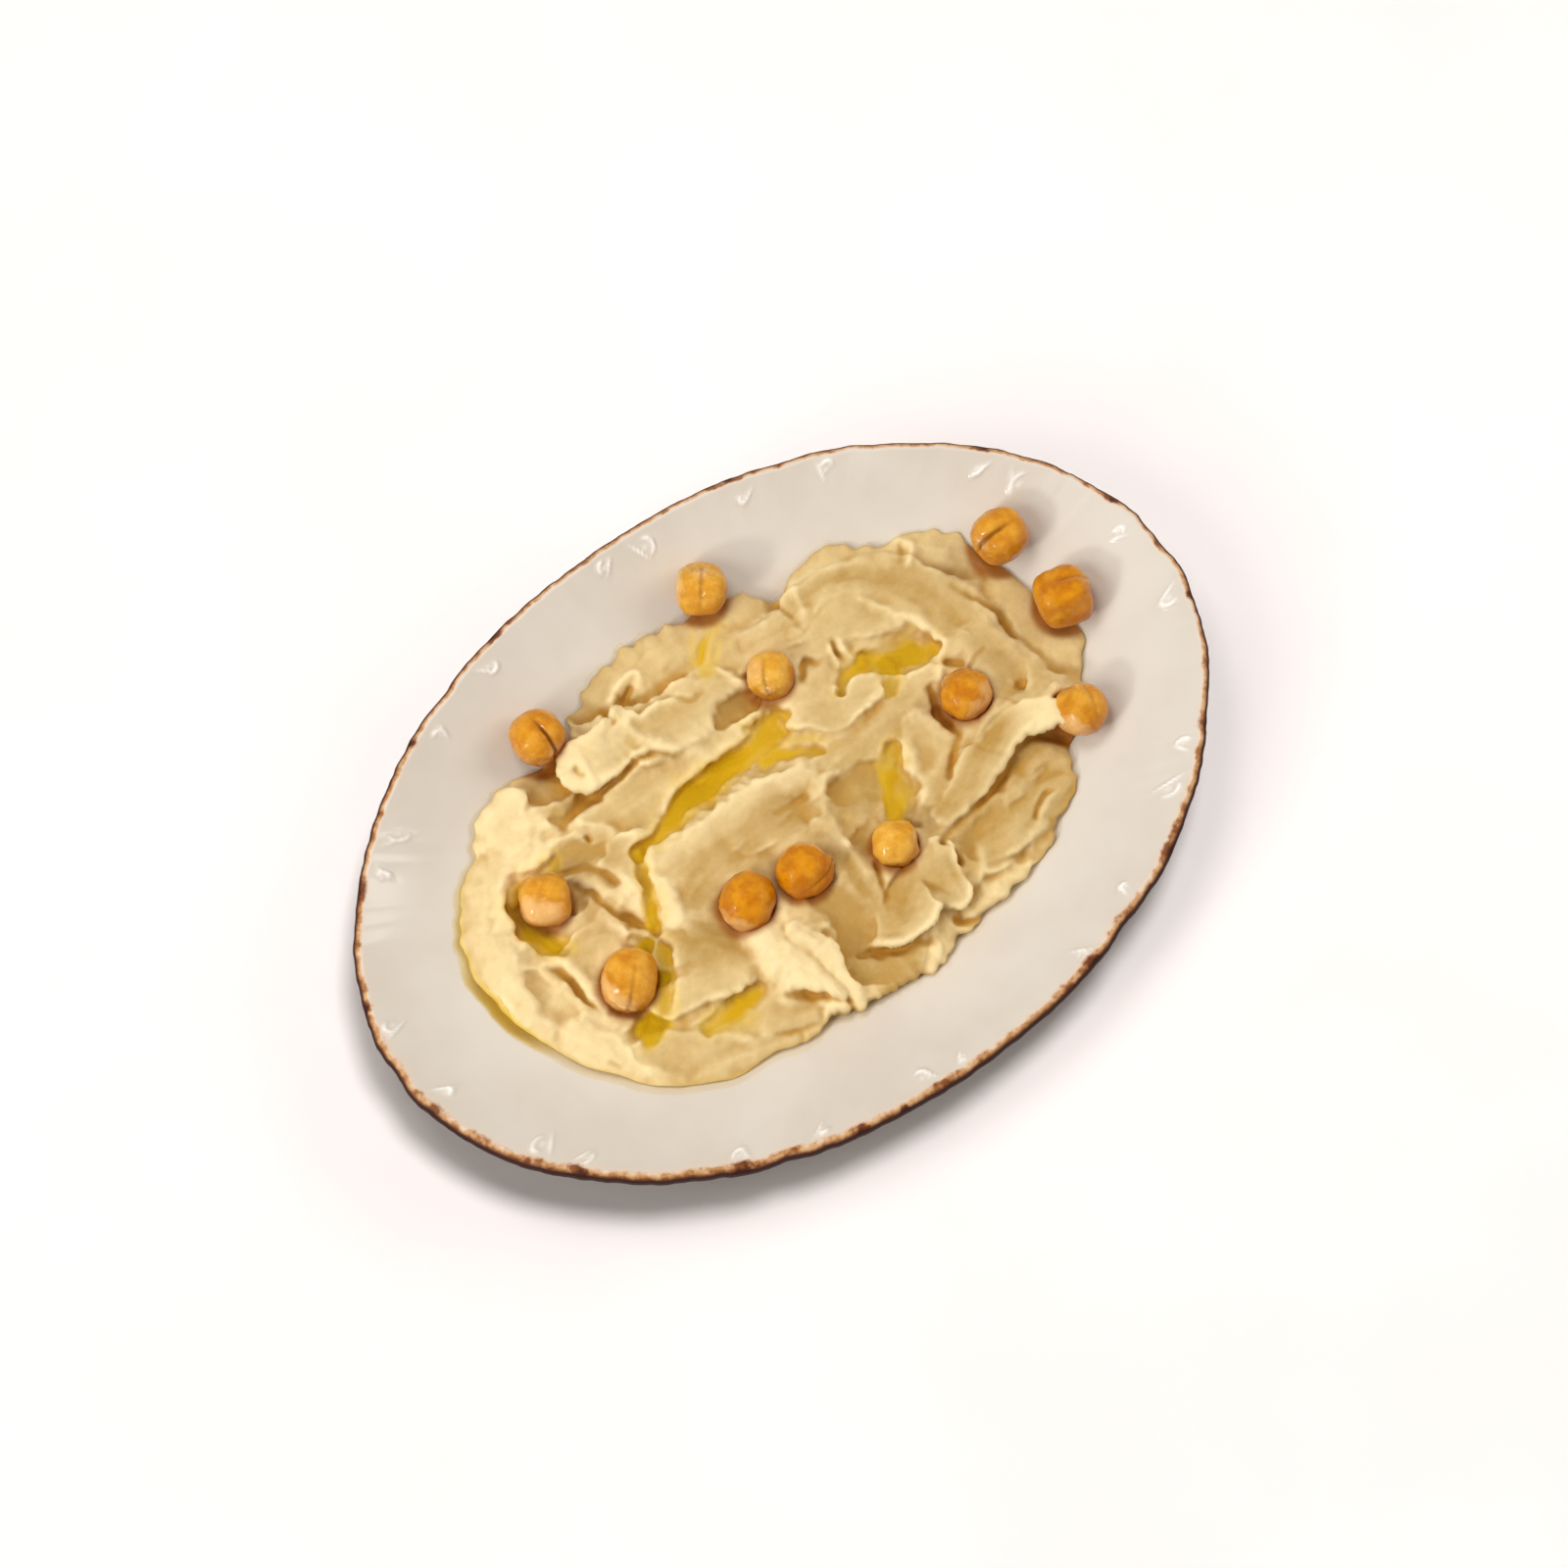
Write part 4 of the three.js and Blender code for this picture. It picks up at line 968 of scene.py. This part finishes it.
# ---- the hummus, in the finish ----
def disc_places(rows, columns):
    """A square grid of places pressed into a disc: heading and distance from the middle, 0 to 1."""
    u, v = np.meshgrid(np.linspace(-1, 1, columns), np.linspace(-1, 1, rows))
    tiny = 1e-9
    wide = np.abs(u) >= np.abs(v)
    radius = np.where(wide, u, v)
    east = math.pi / 4 * v / np.where(wide, u + tiny, 1)
    north = math.pi / 2 - math.pi / 4 * u / np.where(wide, 1, v + tiny)
    turn = np.where(wide, east, north)
    return radius * np.cos(turn), radius * np.sin(turn), np.abs(radius)


def make_hummus(material, heap):
    """The top from the raster, closer together at the torn edge, then the flat underside."""
    rows, columns = HUMMUS_ROWS, HUMMUS_COLUMNS
    x, y, share = disc_places(rows, columns)
    turn = np.arctan2(y * HEAP_WIDTH, x * HEAP_LENGTH)
    under = smoothstep(TOP_SHARE, 1.0, share)
    out = np.minimum(share / TOP_SHARE, 1) ** 0.97
    calm, edge = outline_radius(turn, calm_reach), outline_radius(turn)
    reach = out * (calm + (edge - calm) * out ** 5)
    px, py = reach * np.cos(turn), reach * np.sin(turn)
    fields = (
        heap.height, heap.torn, heap.crease, heap.hump, heap.tone, heap.wet, heap.contact_shade,
        heap.shift_x, heap.shift_y,
    )
    height, torn, crease, hump, tone, wet, contact_shade, shift_x, shift_y = (
        heap.at(field, px, py) for field in fields
    )
    height = height + (plate_top(px, py) - PRESSED_IN - height) * under
    tuck = 1 - UNDER_TUCK * under
    px, py = px * tuck + shift_x * (1 - under), py * tuck + shift_y * (1 - under)
    # pale: the strokes' tone and torn paste, with painted light on crests from hump; crests also shed the
    # painted shade in crease.
    pale = np.clip(0.8 * tone + 0.24 * torn + 0.36 * hump, 0, 1)
    crease = np.clip(0.7 * crease - 0.6 * hump - 0.1, 0, 1)
    points = np.stack([px, py, height], -1).reshape(-1, 3)
    faces = grid_faces(rows, columns)
    loop = list(range(columns))
    loop += [row * columns + columns - 1 for row in range(1, rows)]
    loop += [(rows - 1) * columns + column for column in range(columns - 2, -1, -1)]
    loop += [row * columns for row in range(rows - 2, 0, -1)]
    rings = []
    for inward in (0.7, 0.3):
        ring_x, ring_y = points[loop, 0] * inward, points[loop, 1] * inward
        rings.append(np.column_stack([ring_x, ring_y, plate_top(ring_x, ring_y) - PRESSED_IN]))
    first, size = len(points), len(loop)
    points = np.vstack([points, *rings, [[0, 0, FLOOR_HEIGHT - PRESSED_IN]]])
    for i in range(size):
        j = (i + 1) % size
        faces.append((loop[j], loop[i], first + i, first + j))
        faces.append((first + j, first + i, first + size + i, first + size + j))
        faces.append((first + size + j, first + size + i, first + 2 * size))
    fields = {"pale": pale, "crease": crease, "wet": wet, "contact_shade": contact_shade}
    underside = np.zeros(2 * size + 1)
    values = {key: np.append(field.ravel(), underside) for key, field in fields.items()}
    return mesh_piece("swiped_hummus", points, faces, material, values)


# ---- the olive oil ----
def make_oil(material, heap):
    """Every pool is a closed skin. Only its top shows: the rim and the underside lie in the hummus,
    or in the plate where the oil has run past the foot of the bank."""
    share = np.hypot(heap.x, heap.y) / outline_radius(np.arctan2(heap.y, heap.x))
    past_foot = smoothstep(0.985, 1.0, share)
    height = heap.height + (plate_top(heap.x, heap.y) + FILM - heap.height) * past_foot
    showing = heap.oil > 0
    cells = showing[:-1, :-1] | showing[1:, :-1] | showing[:-1, 1:] | showing[1:, 1:]
    # Cells that touch only at a corner are joined, so that the skin has no pinched edges.
    for _ in range(3):
        rising = cells[:-1, :-1] & cells[1:, 1:] & ~cells[1:, :-1] & ~cells[:-1, 1:]
        falling = ~cells[:-1, :-1] & ~cells[1:, 1:] & cells[1:, :-1] & cells[:-1, 1:]
        cells[1:, :-1] |= rising
        cells[:-1, :-1] |= falling
    quads = np.array(grid_faces(*height.shape))[cells.ravel()]
    used, inverse = np.unique(quads, return_inverse=True)
    count = len(used)
    tops = inverse.reshape(-1, 4)
    start, stop = tops.ravel(), np.roll(tops, -1, axis=1).ravel()
    rim = ~np.isin(start * count + stop, stop * count + start)
    start, stop = start[rim], stop[rim]
    walls = np.stack([stop, start, start + count, stop + count], -1)
    faces = np.vstack([tops, tops[:, ::-1] + count, walls]).tolist()
    surface = height + np.where(showing, heap.oil, -SKIN_TUCK)
    levels = (surface, height - SKIN_UNDER)
    points = [np.stack([heap.x, heap.y, level], -1).reshape(-1, 3)[used] for level in levels]
    depths = np.tile(heap.stain.ravel()[used], 2)
    return mesh_piece("olive_oil", np.vstack(points), faces, material, {"depth": depths})


# ---- the chickpeas ----
PEAS = [
    # beak: heading, rise, roll about it; stretch along it, how square, groove, tone (0 golden,
    # 1 pale); loose skin: heading, rise, how much of the pea is left bare of it
    ((54, 48, 0), 0.98, 2.5, 0.5, 0.8, (150, 10, 0.4)),
    ((180, 12, 0), 1.02, 2.5, 1.3, 0.35, (0, 0, 0)),
    ((-15, 6, -30), 1.06, 3.2, 0.5, 0.1, (0, 0, 0)),
    ((70, 20, 30), 1.02, 2.3, 0.3, 0.35, (215, 5, 0.8)),
    ((120, 15, 150), 1.02, 2.2, 0.4, 0.12, (-62, 6, 1)),
    ((234, 12, 20), 1.03, 2.4, 0.5, 0.85, (140, 30, 0.4)),
    ((278, 6, -14), 1.06, 2.2, 1.5, 0.3, (230, 0, 0.3)),
    ((-40, 5, 90), 1.02, 2.2, 0.2, 0.9, (-30, 10, 0.5)),
    ((0, 4, 60), 1.12, 2.2, 0.5, 0.0, (30, 5, 0.6)),
    ((35, 8, -75), 1.14, 2.2, 0.4, 0.0, (205, -5, 0.9)),
    ((60, 15, 90), 1.04, 2.8, 0.4, 0.45, (215, 30, 0.9)),
    ((230, 4, -12), 1.2, 2.4, 0.5, 0.5, (190, 20, 0.6)),
]
PEA_LEVEL = 6  # subdivisions of the ball
PEA_INPUTS = {
    "Radius": "Float", "Stretch": "Float", "Square": "Float", "Groove": "Float", "Tone": "Float",
    "Peel": "Float", "Peel way": "Vector", "Seed": "Float", "Turn": "Rotation", "Centre": "Vector",
}


def pea_tree(material):
    """The tree that makes one chickpea from its sizes."""
    nodes = bpy.data.node_groups.new("chickpea", "GeometryNodeTree")
    for name, kind in PEA_INPUTS.items():
        nodes.interface.new_socket(name, in_out="INPUT", socket_type=f"NodeSocket{kind}")
    nodes.interface.new_socket("Geometry", in_out="OUTPUT", socket_type="NodeSocketGeometry")
    tree = Tree(nodes)
    given = nodes.nodes.new("NodeGroupInput")
    sizes = {socket.name: Value(tree, socket) for socket in given.outputs if socket.name}

    def parts_of(vector):
        split = nodes.nodes.new("ShaderNodeSeparateXYZ")
        nodes.links.new(vector.socket, split.inputs[0])
        return [Value(tree, split.outputs[i]) for i in range(3)]

    def noise(size, detail, seed, twist=0.0):
        sockets = {
            "Vector": way, "W": sizes["Seed"] + seed, "Scale": size, "Detail": detail, "Distortion": twist,
        }
        return tree.add("ShaderNodeTexNoise", {"noise_dimensions": "4D"}, sockets) - 0.5

    def vectors(operation, sockets, out=0):
        return tree.add("ShaderNodeVectorMath", {"operation": operation}, sockets, out)

    def facing_of(vector, other):
        return vectors("DOT_PRODUCT", {0: vector, 1: other}, out=1)

    def kept(geometry, name, value):
        settings = {"data_type": "FLOAT", "domain": "POINT"}
        sockets = {"Geometry": geometry, "Name": name, "Value": value}
        return tree.add("GeometryNodeStoreNamedAttribute", settings, sockets)

    ball = tree.add("GeometryNodeMeshIcoSphere", sockets={"Radius": 1.0, "Subdivisions": PEA_LEVEL})
    way = tree.add("GeometryNodeInputPosition")
    back = tree.add("FunctionNodeInvertRotation", sockets={0: sizes["Turn"]})
    own = tree.add("FunctionNodeRotateVector", sockets={0: way, 1: back})
    x, y, z = parts_of(own)
    power = sizes["Square"]
    corners = sum(part.math("ABSOLUTE") ** power for part in (x, y, z))
    square = corners ** (-1 / power)
    tip = ((x * 0.96 + z * 0.28 - 1) / 0.035).exp()
    neck = ((x - 1) / 0.2).exp()
    front = x.rise(-0.75, 0.5) * z.rise(-0.6, 0.2)
    wide = ((y / 0.36) ** 2 * -1).exp()
    narrow = ((y / 0.085) ** 2 * -1).exp()
    lumps = noise(1.5, 1.0, 0)
    creases = noise(4.0, 2.0, 5, 0.6)
    ridge = 1 - (creases.math("ABSOLUTE") * 8).clamped()
    lean = facing_of(way, sizes["Peel way"]) + lumps * 0.9 + creases * 0.25
    limit = 1 - sizes["Peel"] * 0.5
    some = (sizes["Peel"] * 20).clamped()
    bare = (lean - limit).rise(-0.06, 0.3) * some
    hem = (1 - ((lean - limit + 0.02) / 0.08).math("ABSOLUTE").clamped()) * some
    groove = (wide * 0.1 + narrow * 0.1) * front * sizes["Groove"]
    stretch = 1 + (sizes["Stretch"] - 1) * x * x
    reach = square * stretch + tip * 0.16 - neck * 0.05 - groove + lumps * 0.2
    reach = reach + hem * 0.03 - bare * 0.03 - ridge * (0.008 + neck * 0.02)
    moved = vectors("SCALE", {0: way, 3: reach * sizes["Radius"]})
    set_off = vectors("ADD", {0: moved, 1: sizes["Centre"]})
    # Painted shade in the groove and the wrinkles, and darker along the edge of the loose skin.
    dark = narrow * front * (sizes["Groove"] * 0.9) + ridge * (0.12 + neck * 0.3) + hem * 0.15
    low = parts_of(way)[2] * -1
    shaped = kept(ball, "crease_shade", dark.clamped())
    shaped = kept(shaped, "tone", sizes["Tone"] + lumps * 0.8)
    shaped = kept(shaped, "bare", (bare * 0.9 + tip * 1.2).clamped())
    # Painted shade: darker underneath and on the side away from the light, towards heading -60.
    shaded = low * 0.8 + facing_of(way, pointing(-60, 0)) * 0.55
    shaped = kept(shaped, "low", shaded.rise(-0.45, 0.7))
    placed = tree.add("GeometryNodeSetPosition", sockets={"Geometry": shaped, "Position": set_off})
    real = tree.add("GeometryNodeRealizeInstances", sockets={"Geometry": placed})
    smooth = tree.add("GeometryNodeSetShadeSmooth", sockets={"Geometry": real})
    dressed = tree.add("GeometryNodeSetMaterial", sockets={"Geometry": smooth, "Material": material})
    tree.add("NodeGroupOutput", sockets={"Geometry": dressed})
    return nodes


def set_input(modifier, name, value):
    for item in modifier.node_group.interface.items_tree:
        if item.item_type == "SOCKET" and item.in_out == "INPUT" and item.name == name:
            modifier[item.identifier] = value
            return


def make_peas(material):
    nodes = pea_tree(material)
    made = []
    for i, (beak, stretch, square, groove, tone, skin) in enumerate(PEAS):
        name = f"chickpea_skin_{i + 1:02d}"
        blank = bpy.data.meshes.new(name + "_maker")
        holder = bpy.data.objects.new(name + "_maker", blank)
        bpy.context.scene.collection.objects.link(holder)
        modifier = holder.modifiers.new("shape", "NODES")
        modifier.node_group = nodes
        heading, rise, roll = (math.radians(angle) for angle in beak)
        turn = Matrix.Identity(3)
        for angle, axis in ((heading, "Z"), (-rise, "Y"), (roll, "X")):
            turn = turn @ Matrix.Rotation(angle, 3, axis)
        given = {
            "Radius": peas[i]["radius"] * MM / (1 + (stretch - 1) / 3) * 0.98, "Stretch": stretch,
            "Square": square, "Groove": groove, "Tone": tone, "Peel": skin[2],
            "Peel way": tuple(pointing(skin[0], skin[1])), "Seed": 3.7 * i,
            "Turn": turn.to_euler(), "Centre": tuple(peas[i]["centre"] * MM),
        }
        for key, value in given.items():
            set_input(modifier, key, value)
        bpy.context.view_layer.update()
        evaluated = holder.evaluated_get(bpy.context.evaluated_depsgraph_get())
        mesh = bpy.data.meshes.new_from_object(evaluated)
        mesh.name = name
        piece = bpy.data.objects.new(name, mesh)
        bpy.context.scene.collection.objects.link(piece)
        bpy.data.objects.remove(holder)
        made.append(piece)
    return made


# ---- the stage ----
AZIMUTH, ELEVATION = math.radians(-35.6), math.radians(75)
LENS, SENSOR = 300, 36
FRAME_WIDTH = 349.3  # what the camera takes in at the rim's height
AIM_RIGHT, AIM_UP = 0.2, 5.6
TABLE_REACH = 8000
TABLE_DROP = 0.2
BACKDROP_RADIUS = 7900
BACKDROP_HEIGHT = 5000
BACKDROP_SIDES = 48
DAYLIGHT, LAMPLIGHT = (1.0, 0.97, 0.93), (1.0, 0.96, 0.9)
# Soft lights: name, heading and rise, distance and side in metres, power, tint, seen in gloss.
LIGHTS = [
    ("window", 172, 50, 1.3, 0.6, 6.0, DAYLIGHT, False),
    ("window glint", 186, 31, 1.3, 0.2, 4.4, DAYLIGHT, True),
    ("lamp", -10, 36, 1.3, 0.8, 5.8, LAMPLIGHT, False),
    ("lamp glint", -25, 33, 1.3, 0.14, 0.45, LAMPLIGHT, True),
    ("ceiling", 100, 70, 1.5, 0.5, 7.0, (1.0, 0.98, 0.96), False),
]
TABLE_LIGHT = {"energy": 4.9, "color": (0.99, 0.98, 1.0), "angle": math.radians(15)}
TABLE_LIGHT_WAY = (15, 80)
ROOM_LIGHT = 0.3


def make_camera():
    level = math.cos(ELEVATION)
    back = Vector((math.sin(AZIMUTH) * level, -math.cos(AZIMUTH) * level, math.sin(ELEVATION)))
    right = Vector((math.cos(AZIMUTH), math.sin(AZIMUTH), 0))
    ahead = Vector((-math.sin(AZIMUTH), math.cos(AZIMUTH), 0))
    aim = (right * AIM_RIGHT + ahead * AIM_UP + Vector((0, 0, RIM_HEIGHT))) * MM
    data = bpy.data.cameras.new("camera")
    data.lens, data.sensor_width = LENS, SENSOR
    data.clip_start, data.clip_end = 0.05, 20
    camera = bpy.data.objects.new("camera", data)
    camera.location = aim + back * (FRAME_WIDTH * MM * LENS / SENSOR)
    camera.rotation_euler = (-back).to_track_quat("-Z", "Y").to_euler()
    bpy.context.scene.collection.objects.link(camera)
    bpy.context.scene.camera = camera


def make_light(name, heading, rise, distance, size, power, tint, mirrored):
    """A soft square light aimed at the plate."""
    way = pointing(heading, rise)
    data = bpy.data.lights.new(name, "AREA")
    data.shape, data.size, data.energy, data.color = "SQUARE", size, power, tint
    light = bpy.data.objects.new(name, data)
    light.location = way * distance
    light.rotation_euler = way.to_track_quat("Z", "Y").to_euler()
    light.visible_glossy = mirrored
    bpy.context.scene.collection.objects.link(light)


def make_table_light(floor):
    """A light from above that falls on the table alone, so that the plate's shadow is close."""
    data = bpy.data.lights.new("over the table", "SUN")
    for key, value in TABLE_LIGHT.items():
        setattr(data, key, value)
    light = bpy.data.objects.new("over the table", data)
    light.rotation_euler = pointing(*TABLE_LIGHT_WAY).to_track_quat("Z", "Y").to_euler()
    bpy.context.scene.collection.objects.link(light)
    lit = bpy.data.collections.new("lit from over the table")
    lit.objects.link(floor)
    light.light_linking.receiver_collection = lit


def make_backdrop():
    """A pale wall far behind, seen past the table's edge and lighting nothing."""
    material, tree = new_material("backdrop")
    cloud = tree.noise(tree.place(), 2000, 1)
    tone = tree.blend(cloud, color(222, 217, 214), color(226, 221, 218))
    black = color(0, 0, 0)
    finish_material(tree, {"Base Color": black, "Emission Color": tone, "Emission Strength": 1.0})
    turn = np.arange(BACKDROP_SIDES) / BACKDROP_SIDES * 2 * math.pi
    round_x, round_y = BACKDROP_RADIUS * np.cos(turn), BACKDROP_RADIUS * np.sin(turn)
    ring = np.stack([round_x, round_y, 0 * turn - 1], -1)
    points = np.vstack([ring, ring + [0, 0, BACKDROP_HEIGHT]])
    faces = [face[::-1] for face in grid_faces(2, BACKDROP_SIDES, wrap=True)]
    wall = mesh_piece("backdrop", points, faces, material)
    for ray in ("diffuse", "glossy", "transmission", "shadow"):
        setattr(wall, f"visible_{ray}", False)


def make_stage():
    material, tree = new_material("table")
    place = tree.place()
    cloud = tree.noise(place, 120, 3)
    tone = tree.blend(cloud.rise(0.3, 0.7), color(156, 151, 149), color(160, 155, 153))
    finish_material(tree, {"Base Color": tone, "Roughness": 0.8})
    corners = [
        (x * TABLE_REACH, y * TABLE_REACH, -TABLE_DROP) for x, y in ((-1, -1), (1, -1), (1, 1), (-1, 1))
    ]
    floor = mesh_piece("table_top", corners, [(0, 1, 2, 3)], material)
    for light in LIGHTS:
        make_light(*light)
    make_table_light(floor)
    make_backdrop()
    world = bpy.data.worlds.new("room")
    world.use_nodes = True
    background = world.node_tree.nodes["Background"]
    background.inputs["Color"].default_value = color(250, 244, 240)
    background.inputs["Strength"].default_value = ROOM_LIGHT
    bpy.context.scene.world = world
    bpy.context.scene.view_settings.view_transform = "Standard"


# ---- all together ----
make_camera()
make_stage()
plate = make_plate(glaze_material())
heap = Heap()
hummus = make_hummus(hummus_material(), heap)
oil = make_oil(oil_material(), heap)
chickpeas = make_peas(pea_material())

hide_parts("plate")
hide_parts("hummus")
for i, pea in enumerate(chickpeas):
    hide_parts(f"chickpea_{i + 1:02d}")
for piece in (plate, hummus, oil, *chickpeas):
    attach(piece, BODY)
